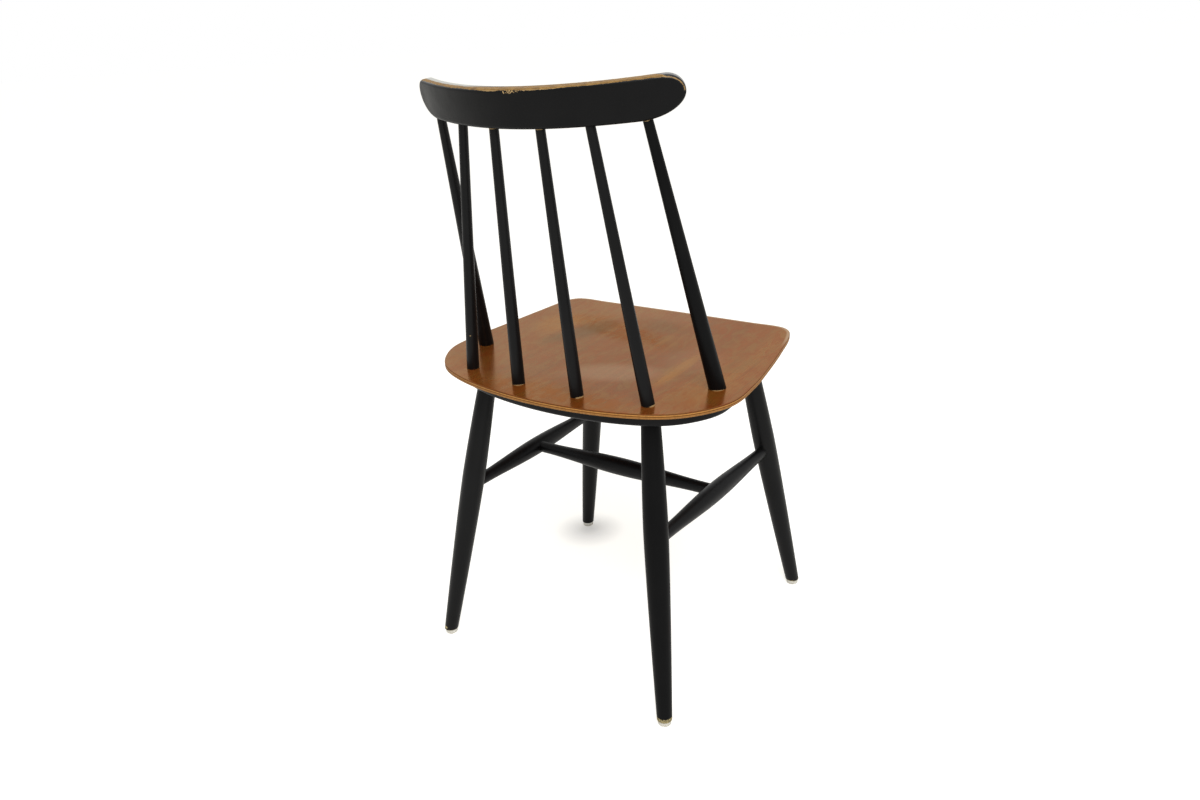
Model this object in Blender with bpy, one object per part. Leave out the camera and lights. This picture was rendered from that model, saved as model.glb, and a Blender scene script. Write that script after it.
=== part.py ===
"""Spindle-back side chair: painted turned frame, dished plywood seat, worn top rail.

Metres, +Z up. The origin is on the floor, near the middle of the four feet.
The chair faces -Y, so the rail is towards +Y and the sitter's left is +X.
"""
import bpy
import bmesh
from math import cos, hypot, pi, radians, sin, sqrt, tau
from mathutils import Matrix, Vector
from mathutils.geometry import interpolate_bezier

# Clearances
JOINT_GAP = 0.0003
REST_GAP = 0.0004

# Plywood seat
SEAT_HEIGHT = 0.4308
SEAT_WIDTH = 0.4740
SEAT_DEPTH = 0.3722
SEAT_BACK = 0.0047
SEAT_THICKNESS = 0.0068
SEAT_EDGE_ROUND = 0.0013
SEAT_FRONT_RISE = 0.0077
SEAT_END_RISE = 0.0045
SEAT_SIDE_RISE = 0.0014

# Half outline of the seat, rear to front, as shares of half its width and half its depth
SEAT_OUTLINE_SHARES = (
    (0.000, 1.000), (0.321, 0.970), (0.592, 0.889), (0.788, 0.771), (0.922, 0.590),
    (0.994, 0.381), (0.990, 0.087), (0.968, -0.134), (0.907, -0.590), (0.847, -0.895),
    (0.769, -0.980), (0.566, -0.990), (0.000, -1.000),
)

# Bent plate under the rear of the seat, set in from the seat's edge
PLATE_THICKNESS = 0.0206
PLATE_DEPTH = 0.1430
PLATE_SIDE_INSET = 0.0221
PLATE_REAR_INSET = 0.0238
PLATE_ARM_WIDTH = 0.0620
PLATE_REAR_WIDTH = 0.0640
PLATE_EDGE_ROUND = 0.0050

# Straight batten under the front of the seat, reaching past both legs
BATTEN_OVERHANG = 0.0313
BATTEN_WIDTH = 0.0440
BATTEN_THICKNESS = 0.0200
BATTEN_EDGE_ROUND = 0.0040

# Legs, all four from one turned pattern, their tops set in from the seat's sides and ends.
# The chair is a little out of true: its right front foot stands ahead of the left one.
FEET_DEPTH = 0.3872
FEET_BACK = 0.0042
REAR_FEET_WIDTH = 0.3912
FRONT_FEET_WIDTH = 0.4064
FRONT_FEET_STAGGER = 0.0154
REAR_LEG_SIDE_INSET = 0.0992
REAR_LEG_END_INSET = 0.0726
FRONT_LEG_SIDE_INSET = 0.1015
FRONT_LEG_END_INSET = 0.0321
LEG_FOOT_DIAMETER = 0.0202
LEG_BELLY_DIAMETER = 0.0332
LEG_BELLY_DISTANCE = 0.2650
LEG_TOP_DIAMETER = 0.0254
LEG_LOWER_CURVE = 1.42
LEG_UPPER_CURVE = 1.50
LEG_TENON_LENGTH = 0.0120
LEG_TENON_DIAMETER = 0.0170
LEG_FOOT_CHAMFER = 0.0012

# Nylon glides and their nails
GLIDE_DIAMETER = 0.0180
GLIDE_HEIGHT = 0.0072
GLIDE_ROUND = 0.0016
GLIDE_FLOOR = 0.0012
NAIL_DIAMETER = 0.0022
NAIL_HEAD_DIAMETER = 0.0080
NAIL_HEAD_THICKNESS = 0.0012
NAIL_LENGTH = 0.0180

# Stretchers
STRETCHER_HEIGHT = 0.2450
STRETCHER_END_DIAMETER = 0.0175
STRETCHER_BELLY_DIAMETER = 0.0271
SIDE_TENON_LENGTH = 0.0120
SIDE_STRAIGHT_END = 0.0080
CROSS_TENON_LENGTH = 0.0090
CROSS_STRAIGHT_END = 0.0200

# Back spindles, outer, middle and inner pair: where each foot meets the seat
OUTER_SPINDLE_SIDE_INSET = 0.0406
OUTER_SPINDLE_REAR_INSET = 0.1407
OUTER_SPINDLE_DIAMETER = 0.0225
MIDDLE_SPINDLE_SIDE_INSET = 0.0912
MIDDLE_SPINDLE_REAR_INSET = 0.0552
INNER_SPINDLE_SPACING = 0.0972
INNER_SPINDLE_REAR_INSET = 0.0387
MIDDLE_SPINDLE_DIAMETER = 0.0176
INNER_SPINDLE_DIAMETER = 0.0176
SPINDLE_TOP_DIAMETER = 0.0117
SPINDLE_FOOT_DEPTH = 0.0200
SPINDLE_TENON_LENGTH = 0.0155
SPINDLE_TENON_DIAMETER_SHARE = 0.46
SPINDLE_HEAD_DEPTH = 0.0180

# Top rail: a plank bent to a parabola, closest round at its middle, that leans back
RAIL_RISE = 0.3281
RAIL_REAR_INSET = 0.0095
RAIL_LEAN = 0.1693
RAIL_BEND_RADIUS = 0.3120
RAIL_WIDTH = 0.3996
RAIL_HEIGHT = 0.0461
RAIL_THICKNESS = 0.0180
RAIL_NOSE_HEIGHT = 0.0276
RAIL_LOWER_CORNER = 0.0475
RAIL_UPPER_CORNER = 0.0190
RAIL_EDGE_ROUND = 0.0045
OUTER_SPINDLE_TOP_INSET = 0.0439
MIDDLE_SPINDLE_TOP_INSET = 0.1038
INNER_SPINDLE_TOP_SPACING = 0.0700

# Countersunk screws up through the underframe into the seat
SCREW_HEAD_DIAMETER = 0.0080
SCREW_SHANK_DIAMETER = 0.0040
SCREW_SLOT_WIDTH = 0.0010
SCREW_SLOT_DEPTH = 0.0011
SCREW_SEAT_BITE = 0.0045
PLATE_SCREW_BEARINGS = (20.0, 53.0, 90.0, 127.0, 160.0)
BATTEN_SCREW_SPACING = 0.0850

# Places that follow from these sizes
SEAT_SIDE = SEAT_WIDTH / 2
SEAT_REAR = SEAT_BACK + SEAT_DEPTH / 2
SEAT_FRONT = SEAT_BACK - SEAT_DEPTH / 2
PLATE_FRONT = SEAT_REAR - PLATE_REAR_INSET - PLATE_DEPTH

# Facets
OUTLINE_STEPS = 3
SEAT_RINGS = (0.14, 0.36, 0.60, 0.80, 0.93)
EDGE_STEPS = 3
PLATE_STATIONS = 30
BATTEN_STATIONS = 8
RAIL_STATIONS = 28
LEG_RINGS = 12
LEG_SIDES = 20
STRETCHER_RINGS = 10
STRETCHER_SIDES = 16
SPINDLE_SIDES = 14
GLIDE_SIDES = 16
SCREW_SIDES = 10
NAIL_SIDES = 8
SMOOTH_ANGLE = 0.6

UP = Vector((0.0, 0.0, 1.0))


# Scene and materials

def clear_scene():
    """Remove whatever the file holds, so that only the chair is left."""
    for old in list(bpy.data.objects):
        bpy.data.objects.remove(old, do_unlink=True)


def plain_finish(name, colour, roughness, metallic=0.0):
    """Return a plain Principled material of one colour."""
    material = bpy.data.materials.new(name)
    material.use_nodes = True
    shader = material.node_tree.nodes["Principled BSDF"]
    shader.inputs["Base Color"].default_value = (*colour, 1.0)
    shader.inputs["Roughness"].default_value = roughness
    shader.inputs["Metallic"].default_value = metallic
    material.diffuse_color = (*colour, 1.0)
    return material


def black_paint():
    return plain_finish("black_paint", (0.014, 0.014, 0.014), 0.42)


def teak_varnish():
    return plain_finish("teak_varnish", (0.32, 0.10, 0.030), 0.28)


def white_nylon():
    return plain_finish("white_nylon", (0.72, 0.70, 0.62), 0.50)


def plain_steel():
    return plain_finish("plain_steel", (0.42, 0.41, 0.39), 0.38, 1.0)


# Modelling helpers

def add_object(name, bm, material=None):
    """Turn a bmesh into a named object with its faces pointing out."""
    bmesh.ops.remove_doubles(bm, verts=bm.verts, dist=1e-6)
    bmesh.ops.recalc_face_normals(bm, faces=bm.faces)
    mesh = bpy.data.meshes.new(name)
    bm.to_mesh(mesh)
    bm.free()
    mesh.shade_smooth()
    mesh.set_sharp_from_angle(angle=SMOOTH_ANGLE)
    if material:
        mesh.materials.append(material)
    item = bpy.data.objects.new(name, mesh)
    bpy.context.scene.collection.objects.link(item)
    return item


def as_cutter(item):
    item.hide_render = True
    item.display_type = "WIRE"
    return item


def cut(host, cutter):
    """Take the cutter's shape out of the host."""
    modifier = host.modifiers.new("cut_" + cutter.name, "BOOLEAN")
    modifier.operation = "DIFFERENCE"
    modifier.solver = "EXACT"
    modifier.object = cutter


def close_with_ladder(bm, loop):
    """Fill a loop that mirrors about its first point with strips across it."""
    count = len(loop)
    for i in range(count // 2):
        corners = (loop[i], loop[i + 1], loop[count - i - 1], loop[-i])
        bm.faces.new(dict.fromkeys(corners))


def skin_rings(bm, rings, ladder=False):
    """Join rings of equally many points by quads and close both ends."""
    loops = [[bm.verts.new(point) for point in ring] for ring in rings]
    count = len(loops[0])
    for low, high in zip(loops, loops[1:]):
        for i in range(count):
            j = (i + 1) % count
            bm.faces.new((low[i], low[j], high[j], high[i]))
    for loop in (loops[0], loops[-1]):
        if ladder:
            close_with_ladder(bm, loop)
        else:
            bm.faces.new(loop)


def turn_profile(profile, sides):
    """Turn (radius, height) points, from axis to axis, into a closed solid round Z."""
    bm = bmesh.new()
    verts = [bm.verts.new((radius, 0.0, height)) for radius, height in profile]
    edges = [bm.edges.new(pair) for pair in zip(verts, verts[1:])]
    bmesh.ops.spin(bm, geom=verts + edges, cent=(0, 0, 0), axis=(0, 0, 1),
                   angle=tau, steps=sides, use_merge=True)
    bmesh.ops.remove_doubles(bm, verts=bm.verts, dist=1e-6)
    return bm


def capped(stations):
    """Close (radius, distance) stations with a point on the axis at each end."""
    return [(0.0, stations[0][1]), *stations, (0.0, stations[-1][1])]


def swollen(stations, mouth=0.0):
    """The same stations with a clearance all round, and a mouth before the first one."""
    grown = [(radius + JOINT_GAP, distance) for radius, distance in stations]
    grown[0] = (grown[0][0], grown[0][1] - JOINT_GAP - mouth)
    grown[-1] = (grown[-1][0], grown[-1][1] + JOINT_GAP)
    if mouth:
        grown.insert(1, (grown[0][0], stations[0][1]))
    return grown


def stand_along(item, start, direction):
    """Stand an object that was turned round Z on a start point, along a direction."""
    item.location = start
    item.rotation_mode = "QUATERNION"
    item.rotation_quaternion = direction.to_track_quat("Z", "Y")
    return item


def add_rod(name, start, direction, stations, sides, material, mouth=0.0):
    """A turned rod from (radius, distance) stations, and the cutter for its sockets."""
    rod = add_object(name, turn_profile(capped(stations), sides), material)
    stand_along(rod, start, direction)
    socket = add_object(name + "_socket", turn_profile(capped(swollen(stations, mouth)), sides))
    stand_along(socket, start, direction)
    return rod, as_cutter(socket)


def mirrored(half):
    """Close a half outline, given from x = 0 to x = 0, with its mirror image."""
    return half + [(-x, y) for x, y in reversed(half[1:-1])]


def smooth_through(points, steps):
    """A smooth curve through a half outline that meets x = 0 squarely at both ends."""
    spots = [Vector((x, y, 0.0)) for x, y in points]
    first = Vector((-spots[1].x, spots[1].y, 0.0))
    last = Vector((-spots[-2].x, spots[-2].y, 0.0))
    padded = [first, *spots, last]
    curve = []
    for before, start, end, after in zip(padded, padded[1:], padded[2:], padded[3:]):
        reach = (end - start).length / 3
        lead = start + (end - before).normalized() * reach
        trail = end - (after - start).normalized() * reach
        span = interpolate_bezier(start, lead, trail, end, steps + 1)
        curve.extend((spot.x, spot.y) for spot in span[:-1])
    curve.append((0.0, spots[-1].y))
    return curve


def inset_outline(outline, inset):
    """Move a closed outline, which runs clockwise, inwards by the same distance all round."""
    moved = []
    for i, (x, y) in enumerate(outline):
        before = Vector(outline[i - 1])
        after = Vector(outline[(i + 1) % len(outline)])
        along = (after - before).normalized()
        moved.append((x + along.y * inset, y - along.x * inset))
    return moved


def rounded_edge(thickness, corner):
    """(inset, depth) points round an edge, from the upper face to the lower one."""
    turns = [step / EDGE_STEPS * pi / 2 for step in range(EDGE_STEPS + 1)]
    upper = [(corner * (1 - sin(turn)), corner * (1 - cos(turn))) for turn in turns]
    lower = [(inset, thickness - depth) for inset, depth in reversed(upper)]
    return upper + lower


# Seat

def seat_top(x, y):
    """Height of the seat's upper face, which is dished across and along."""
    across = x / SEAT_SIDE
    along = (y - SEAT_BACK) / (SEAT_DEPTH / 2)
    tilt = -SEAT_FRONT_RISE * along
    dish = SEAT_END_RISE * along ** 2 + SEAT_SIDE_RISE * across ** 2
    return SEAT_HEIGHT + tilt + dish


def seat_outline(side_inset=0.0, rear_inset=0.0):
    """Closed plan of the seat, drawn in at the sides and at the rear if asked."""
    half = []
    for across, along in SEAT_OUTLINE_SHARES:
        reach = SEAT_DEPTH / 2 - (rear_inset if along > 0 else 0.0)
        half.append((across * (SEAT_SIDE - side_inset), along * reach + SEAT_BACK))
    return mirrored(smooth_through(half, OUTLINE_STEPS))


def seat_ring(outline, share, depth):
    """A ring part of the way from the seat's middle to its edge, below the upper face."""
    ring = []
    for x, y in outline:
        ring_x = x * share
        ring_y = (y - SEAT_BACK) * share + SEAT_BACK
        ring.append((ring_x, ring_y, seat_top(ring_x, ring_y) - depth))
    return ring


def make_seat(material):
    bm = bmesh.new()
    outline = seat_outline()
    flat = inset_outline(outline, SEAT_EDGE_ROUND)
    upper = [seat_ring(flat, share, 0.0) for share in SEAT_RINGS]
    lower = [seat_ring(flat, share, SEAT_THICKNESS) for share in reversed(SEAT_RINGS)]
    rim = []
    for inset, depth in rounded_edge(SEAT_THICKNESS, SEAT_EDGE_ROUND):
        edge = inset_outline(outline, inset)
        rim.append([(x, y, seat_top(x, y) - depth) for x, y in edge])
    skin_rings(bm, upper + rim + lower, ladder=True)
    return add_object("seat_shell", bm, material)


# Underframe

def strip_section(outer, inner, thickness, corner):
    """Section of a strip under the seat, between two plan points, rounded below."""
    outer = Vector(outer)
    inner = Vector(inner)
    inward = (inner - outer).normalized()
    turns = [step / EDGE_STEPS * pi / 2 for step in range(EDGE_STEPS + 1)]
    lower = [(corner * (1 - cos(turn)), thickness - corner * (1 - sin(turn))) for turn in turns]
    side = [(0.0, 0.0), *lower]
    spots = [(outer + inward * shift, depth) for shift, depth in side]
    spots += [(inner - inward * shift, depth) for shift, depth in reversed(side)]
    drop = SEAT_THICKNESS + REST_GAP
    return [(spot.x, spot.y, seat_top(spot.x, spot.y) - drop - depth) for spot, depth in spots]


def make_strip(name, pairs, thickness, corner, material):
    """A strip that follows the seat's underside, from (outer, inner) plan points."""
    bm = bmesh.new()
    skin_rings(bm, [strip_section(outer, inner, thickness, corner) for outer, inner in pairs])
    return add_object(name, bm, material)


def reach_to(outline, centre, direction):
    """Distance from a centre to a closed outline along a unit direction."""
    for i, end in enumerate(outline):
        start = Vector(outline[i - 1]) - centre
        along = Vector(end) - Vector(outline[i - 1])
        spread = direction.x * along.y - direction.y * along.x
        if abs(spread) < 1e-9:
            continue
        distance = (start.x * along.y - start.y * along.x) / spread
        share = (start.x * direction.y - start.y * direction.x) / spread
        if distance > 0 and 0 <= share <= 1:
            return distance
    raise ValueError("the outline does not surround the centre")


def plate_span(bearing):
    """Outer and inner plan points of the bent plate on one bearing from its middle."""
    centre = Vector((0.0, PLATE_FRONT))
    direction = Vector((cos(bearing), sin(bearing)))
    outline = seat_outline(PLATE_SIDE_INSET, PLATE_REAR_INSET)
    outer = reach_to(outline, centre, direction)
    side = reach_to(outline, centre, Vector((1.0, 0.0))) - PLATE_ARM_WIDTH
    rear = reach_to(outline, centre, Vector((0.0, 1.0))) - PLATE_REAR_WIDTH
    inner = 1 / hypot(direction.x / side, direction.y / rear)
    return centre + direction * outer, centre + direction * inner


def make_plate(material):
    bearings = [pi * step / PLATE_STATIONS for step in range(PLATE_STATIONS + 1)]
    pairs = [plate_span(bearing) for bearing in bearings]
    return make_strip("rear_seat_plate", pairs, PLATE_THICKNESS, PLATE_EDGE_ROUND, material)


def make_batten(material):
    leg = leg_top(True, 1)
    pairs = []
    for step in range(BATTEN_STATIONS + 1):
        x = (2 * step / BATTEN_STATIONS - 1) * (leg.x + BATTEN_OVERHANG)
        pairs.append(((x, leg.y - BATTEN_WIDTH / 2), (x, leg.y + BATTEN_WIDTH / 2)))
    return make_strip("front_batten", pairs, BATTEN_THICKNESS, BATTEN_EDGE_ROUND, material)


# Legs and their glides

def leg_top(front, side):
    """Where in plan a leg's axis meets the underframe."""
    if front:
        return Vector((side * (SEAT_SIDE - FRONT_LEG_SIDE_INSET), SEAT_FRONT + FRONT_LEG_END_INSET, 0.0))
    return Vector((side * (SEAT_SIDE - REAR_LEG_SIDE_INSET), SEAT_REAR - REAR_LEG_END_INSET, 0.0))


def leg_line(front, side):
    """Point on the floor and unit direction of a leg's axis, and its length to the underframe."""
    top = leg_top(front, side)
    if front:
        foot_y = FEET_BACK - FEET_DEPTH / 2 + side * FRONT_FEET_STAGGER / 2
        foot = Vector((side * FRONT_FEET_WIDTH / 2, foot_y, 0.0))
        thickness = BATTEN_THICKNESS
    else:
        foot = Vector((side * REAR_FEET_WIDTH / 2, FEET_BACK + FEET_DEPTH / 2, 0.0))
        thickness = PLATE_THICKNESS
    top.z = seat_top(top.x, top.y) - SEAT_THICKNESS - REST_GAP - thickness
    return foot, (top - foot).normalized(), (top - foot).length


def leg_point(front, side, height):
    """Point of a leg's axis at a height above the floor."""
    foot, direction, _ = leg_line(front, side)
    return foot + direction * (height / direction.z)


def leg_radius(distance, length):
    """Radius of a leg at a distance from the floor along its axis."""
    if distance < LEG_BELLY_DISTANCE:
        share = (1 - distance / LEG_BELLY_DISTANCE) ** LEG_LOWER_CURVE
        loss = LEG_BELLY_DIAMETER - LEG_FOOT_DIAMETER
    else:
        share = ((distance - LEG_BELLY_DISTANCE) / (length - LEG_BELLY_DISTANCE)) ** LEG_UPPER_CURVE
        loss = LEG_BELLY_DIAMETER - LEG_TOP_DIAMETER
    return (LEG_BELLY_DIAMETER - loss * share) / 2


def level_foot(leg):
    """Saw a leg off level above its glide and break the sharp edge."""
    bm = bmesh.new()
    bm.from_mesh(leg.data)
    placed = Matrix.LocRotScale(leg.location, leg.rotation_quaternion, None)
    bm.transform(placed)
    bmesh.ops.bisect_plane(bm, geom=bm.verts[:] + bm.edges[:] + bm.faces[:],
                           plane_co=(0.0, 0.0, GLIDE_HEIGHT + REST_GAP),
                           plane_no=(0.0, 0.0, 1.0), clear_inner=True)
    rim = [edge for edge in bm.edges if edge.is_boundary]
    filled = bmesh.ops.contextual_create(bm, geom=rim)["faces"]
    bmesh.ops.bevel(bm, geom=filled[0].edges[:], offset=LEG_FOOT_CHAMFER,
                    segments=1, affect="EDGES", clamp_overlap=True)
    bm.transform(placed.inverted())
    bmesh.ops.recalc_face_normals(bm, faces=bm.faces)
    bm.to_mesh(leg.data)
    bm.free()
    leg.data.shade_smooth()
    leg.data.set_sharp_from_angle(angle=SMOOTH_ANGLE)


def make_leg(name, front, side, host, material):
    """A turned leg, its tapered tenon let into the plate or batten above it."""
    foot, direction, length = leg_line(front, side)
    start = -LEG_FOOT_DIAMETER / 2
    stations = []
    for ring in range(LEG_RINGS + 1):
        distance = start + (length - start) * ring / LEG_RINGS
        stations.append((leg_radius(distance, length), distance))
    stations.append((LEG_TENON_DIAMETER / 2, length + LEG_TENON_LENGTH))
    leg, socket = add_rod(name, foot, direction, stations, LEG_SIDES, material)
    level_foot(leg)
    cut(host, socket)
    return leg


def glide_profile():
    """Outer skin of a glide, then the cavity that its nail was moulded into."""
    radius = GLIDE_DIAMETER / 2
    turns = [step / EDGE_STEPS * pi / 2 for step in range(EDGE_STEPS + 1)]
    skin = [(radius - GLIDE_ROUND * (1 - sin(turn)), GLIDE_ROUND * (1 - cos(turn))) for turn in turns]
    crown = [(radius, GLIDE_HEIGHT - GLIDE_ROUND / 2), (radius - GLIDE_ROUND / 2, GLIDE_HEIGHT)]
    shank = NAIL_DIAMETER / 2 + JOINT_GAP
    head = NAIL_HEAD_DIAMETER / 2 + JOINT_GAP
    roof = GLIDE_FLOOR + NAIL_HEAD_THICKNESS + 2 * JOINT_GAP
    cavity = [(shank, GLIDE_HEIGHT), (shank, roof), (head, roof), (head, GLIDE_FLOOR)]
    return [(0.0, 0.0), *skin, *crown, *cavity, (0.0, GLIDE_FLOOR)]


def make_glide(name, front, side, material):
    glide = add_object(name, turn_profile(glide_profile(), GLIDE_SIDES), material)
    spot = leg_point(front, side, GLIDE_HEIGHT)
    glide.location = (spot.x, spot.y, 0.0)
    return glide


def make_nail(name, front, side, leg, material):
    """The nail that holds a glide: its head lies in the nylon, its shank in the leg."""
    head = NAIL_HEAD_DIAMETER / 2
    shank = NAIL_DIAMETER / 2
    stations = [
        (head, 0.0), (head, NAIL_HEAD_THICKNESS), (shank, NAIL_HEAD_THICKNESS),
        (shank, NAIL_LENGTH - NAIL_DIAMETER), (shank / 4, NAIL_LENGTH),
    ]
    spot = leg_point(front, side, GLIDE_HEIGHT)
    start = Vector((spot.x, spot.y, GLIDE_FLOOR + JOINT_GAP))
    nail, socket = add_rod(name, start, UP, stations, NAIL_SIDES, material)
    cut(leg, socket)
    return nail


# Stretchers

def make_stretcher(name, start, end, buried, straight, hosts, material):
    """A rod swelling to its middle, its ends stopping short of both axes by a distance."""
    middle = (start + end) / 2
    direction = (end - start).normalized()
    half = (end - start).length / 2
    reach = half - buried
    swell = half - straight
    stations = []
    for ring in range(STRETCHER_RINGS + 1):
        distance = reach * (2 * ring / STRETCHER_RINGS - 1)
        share = min(abs(distance) / swell, 1.0)
        growth = cos(share * pi / 2) ** 2
        diameter = STRETCHER_END_DIAMETER + (STRETCHER_BELLY_DIAMETER - STRETCHER_END_DIAMETER) * growth
        stations.append((diameter / 2, distance))
    rod, socket = add_rod(name, middle, direction, stations, STRETCHER_SIDES, material)
    for host in hosts:
        cut(host, socket)
    return rod


def make_side_stretcher(name, side, hosts, material):
    rear = leg_point(False, side, STRETCHER_HEIGHT)
    front = leg_point(True, side, STRETCHER_HEIGHT)
    buried = LEG_BELLY_DIAMETER / 2 - SIDE_TENON_LENGTH
    return make_stretcher(name, rear, front, buried, SIDE_STRAIGHT_END, hosts, material)


def make_cross_stretcher(hosts, material):
    ends = []
    for side in (1, -1):
        rear = leg_point(False, side, STRETCHER_HEIGHT)
        front = leg_point(True, side, STRETCHER_HEIGHT)
        ends.append((rear + front) / 2)
    buried = STRETCHER_BELLY_DIAMETER / 2 - CROSS_TENON_LENGTH
    return make_stretcher("cross_stretcher", *ends, buried, CROSS_STRAIGHT_END, hosts, material)


# Top rail

def rail_point(across, rise, depth):
    """Point of the rail: across its rear face, up that face, and forward into the wood."""
    slope = across / RAIL_BEND_RADIUS
    normal = Vector((slope, 1.0)).normalized()
    sideways = across - normal.x * depth
    rearward = -across * slope / 2 - normal.y * depth
    back = Vector((0.0, cos(RAIL_LEAN), -sin(RAIL_LEAN)))
    upward = Vector((0.0, sin(RAIL_LEAN), cos(RAIL_LEAN)))
    middle = Vector((sideways, SEAT_REAR - RAIL_REAR_INSET, SEAT_HEIGHT + RAIL_RISE))
    return middle + back * rearward + upward * rise


def corner_share(across, corner):
    """Height that an elliptic corner keeps at a place across the rail, from 1 down to 0."""
    past = (abs(across) - (RAIL_WIDTH / 2 - corner)) / corner
    return sqrt(max(0.0, 1 - max(0.0, past) ** 2))


def rail_outline():
    """Closed outline of the rear face: along its upper edge, back along its lower one."""
    turns = [pi * station / RAIL_STATIONS for station in range(RAIL_STATIONS + 1)]
    places = [-RAIL_WIDTH / 2 * cos(turn) for turn in turns]
    above = RAIL_HEIGHT - RAIL_NOSE_HEIGHT
    upper = [(x, RAIL_NOSE_HEIGHT + above * corner_share(x, RAIL_UPPER_CORNER)) for x in places]
    lower = [(x, RAIL_NOSE_HEIGHT * (1 - corner_share(x, RAIL_LOWER_CORNER))) for x in places]
    return upper + lower[-2:0:-1]


def make_rail(material):
    bm = bmesh.new()
    outline = rail_outline()
    rings = []
    for inset, depth in rounded_edge(RAIL_THICKNESS, RAIL_EDGE_ROUND):
        edge = inset_outline(outline, inset)
        rings.append([rail_point(across, rise, depth) for across, rise in edge])
    skin_rings(bm, rings, ladder=True)
    return add_object("crest_rail", bm, material)


# Spindles

def spindle_line(foot_x, rear_inset, top_x, side):
    """Where a spindle's axis meets the seat, and where it meets the rail's lower edge."""
    foot_y = SEAT_REAR - rear_inset
    foot = Vector((side * foot_x, foot_y, seat_top(foot_x, foot_y)))
    across = side * top_x * (1 + RAIL_THICKNESS / 2 / RAIL_BEND_RADIUS)
    return foot, rail_point(across, 0.0, RAIL_THICKNESS / 2)


def make_spindle(name, line, diameter, hosts, material):
    """A tapered rod through the seat into the plate, and up into the rail."""
    foot, head = line
    length = (head - foot).length
    taper = (SPINDLE_TOP_DIAMETER - diameter) / 2 / length
    shoulder = SPINDLE_TENON_LENGTH - SPINDLE_FOOT_DEPTH
    end = length + SPINDLE_HEAD_DEPTH
    stations = [
        (diameter / 2 * SPINDLE_TENON_DIAMETER_SHARE, -SPINDLE_FOOT_DEPTH),
        (diameter / 2 + taper * shoulder, shoulder),
        (diameter / 2 + taper * length / 2, length / 2),
        (diameter / 2 + taper * end, end),
    ]
    rod, socket = add_rod(name, foot, (head - foot).normalized(), stations, SPINDLE_SIDES, material)
    for host in hosts:
        cut(host, socket)
    return rod


# Screws

def make_screw(name, x, y, thickness, hosts, material):
    """A slotted countersunk screw, driven up through a strip into the seat."""
    head = SCREW_HEAD_DIAMETER / 2
    shank = SCREW_SHANK_DIAMETER / 2
    length = thickness + REST_GAP + SCREW_SEAT_BITE
    neck = head - shank
    stations = [(head, 0.0), (shank, neck), (shank, length - 2 * shank), (shank / 4, length)]
    base = Vector((x, y, seat_top(x, y) - SEAT_THICKNESS - REST_GAP - thickness))
    start = base + UP * JOINT_GAP
    screw, socket = add_rod(name, start, UP, stations, SCREW_SIDES, material, mouth=head)
    bm = bmesh.new()
    size = Matrix.Diagonal((3 * head, SCREW_SLOT_WIDTH, 2 * SCREW_SLOT_DEPTH, 1.0))
    bmesh.ops.create_cube(bm, size=1.0, matrix=size)
    slot = as_cutter(add_object(name + "_slot", bm))
    slot.parent = screw
    cut(screw, slot)
    for host in hosts:
        cut(host, socket)
    return screw


def main():
    clear_scene()
    paint = black_paint()
    varnish = teak_varnish()
    nylon = white_nylon()
    steel = plain_steel()

    seat = make_seat(varnish)
    plate = make_plate(paint)
    batten = make_batten(paint)
    rail = make_rail(paint)

    legs = {}
    for end, front, host in (("rear", False, plate), ("front", True, batten)):
        for word, side in (("left", 1), ("right", -1)):
            place = end + "_" + word
            leg = make_leg("leg_" + place, front, side, host, paint)
            make_glide("glide_" + place, front, side, nylon)
            make_nail("glide_nail_" + place, front, side, leg, steel)
            legs[place] = leg

    sides = []
    for word, side in (("left", 1), ("right", -1)):
        hosts = (legs["rear_" + word], legs["front_" + word])
        sides.append(make_side_stretcher("side_stretcher_" + word, side, hosts, paint))
    make_cross_stretcher(sides, paint)

    spindles = (
        ("outer", SEAT_SIDE - OUTER_SPINDLE_SIDE_INSET, OUTER_SPINDLE_REAR_INSET,
         RAIL_WIDTH / 2 - OUTER_SPINDLE_TOP_INSET, OUTER_SPINDLE_DIAMETER),
        ("middle", SEAT_SIDE - MIDDLE_SPINDLE_SIDE_INSET, MIDDLE_SPINDLE_REAR_INSET,
         RAIL_WIDTH / 2 - MIDDLE_SPINDLE_TOP_INSET, MIDDLE_SPINDLE_DIAMETER),
        ("inner", INNER_SPINDLE_SPACING / 2, INNER_SPINDLE_REAR_INSET,
         INNER_SPINDLE_TOP_SPACING / 2, INNER_SPINDLE_DIAMETER),
    )
    for place, foot_x, rear_inset, top_x, diameter in spindles:
        for word, side in (("left", 1), ("right", -1)):
            line = spindle_line(foot_x, rear_inset, top_x, side)
            make_spindle("spindle_" + place + "_" + word, line, diameter, (seat, plate, rail), paint)

    for number, bearing in enumerate(PLATE_SCREW_BEARINGS, 1):
        outer, inner = plate_span(radians(bearing))
        spot = (outer + inner) / 2
        make_screw("plate_screw_%d" % number, spot.x, spot.y, PLATE_THICKNESS, (plate, seat), steel)
    row = leg_top(True, 1).y
    for number, step in enumerate((-1, 0, 1), 1):
        x = step * BATTEN_SCREW_SPACING
        make_screw("batten_screw_%d" % number, x, row, BATTEN_THICKNESS, (batten, seat), steel)


main()
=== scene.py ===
"""Looks of a spindle-back side chair: worn black paint on turned wood, varnished ply seat.

Metres, +Z up, in the frame of the solids: the chair faces -Y and stands on z = 0.
"""
import bmesh
import bpy
from math import atan2, cos, degrees, hypot, pi, radians, sin, sqrt, tau
from mathutils import Matrix, Vector, noise
from mathutils.geometry import interpolate_bezier


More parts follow.
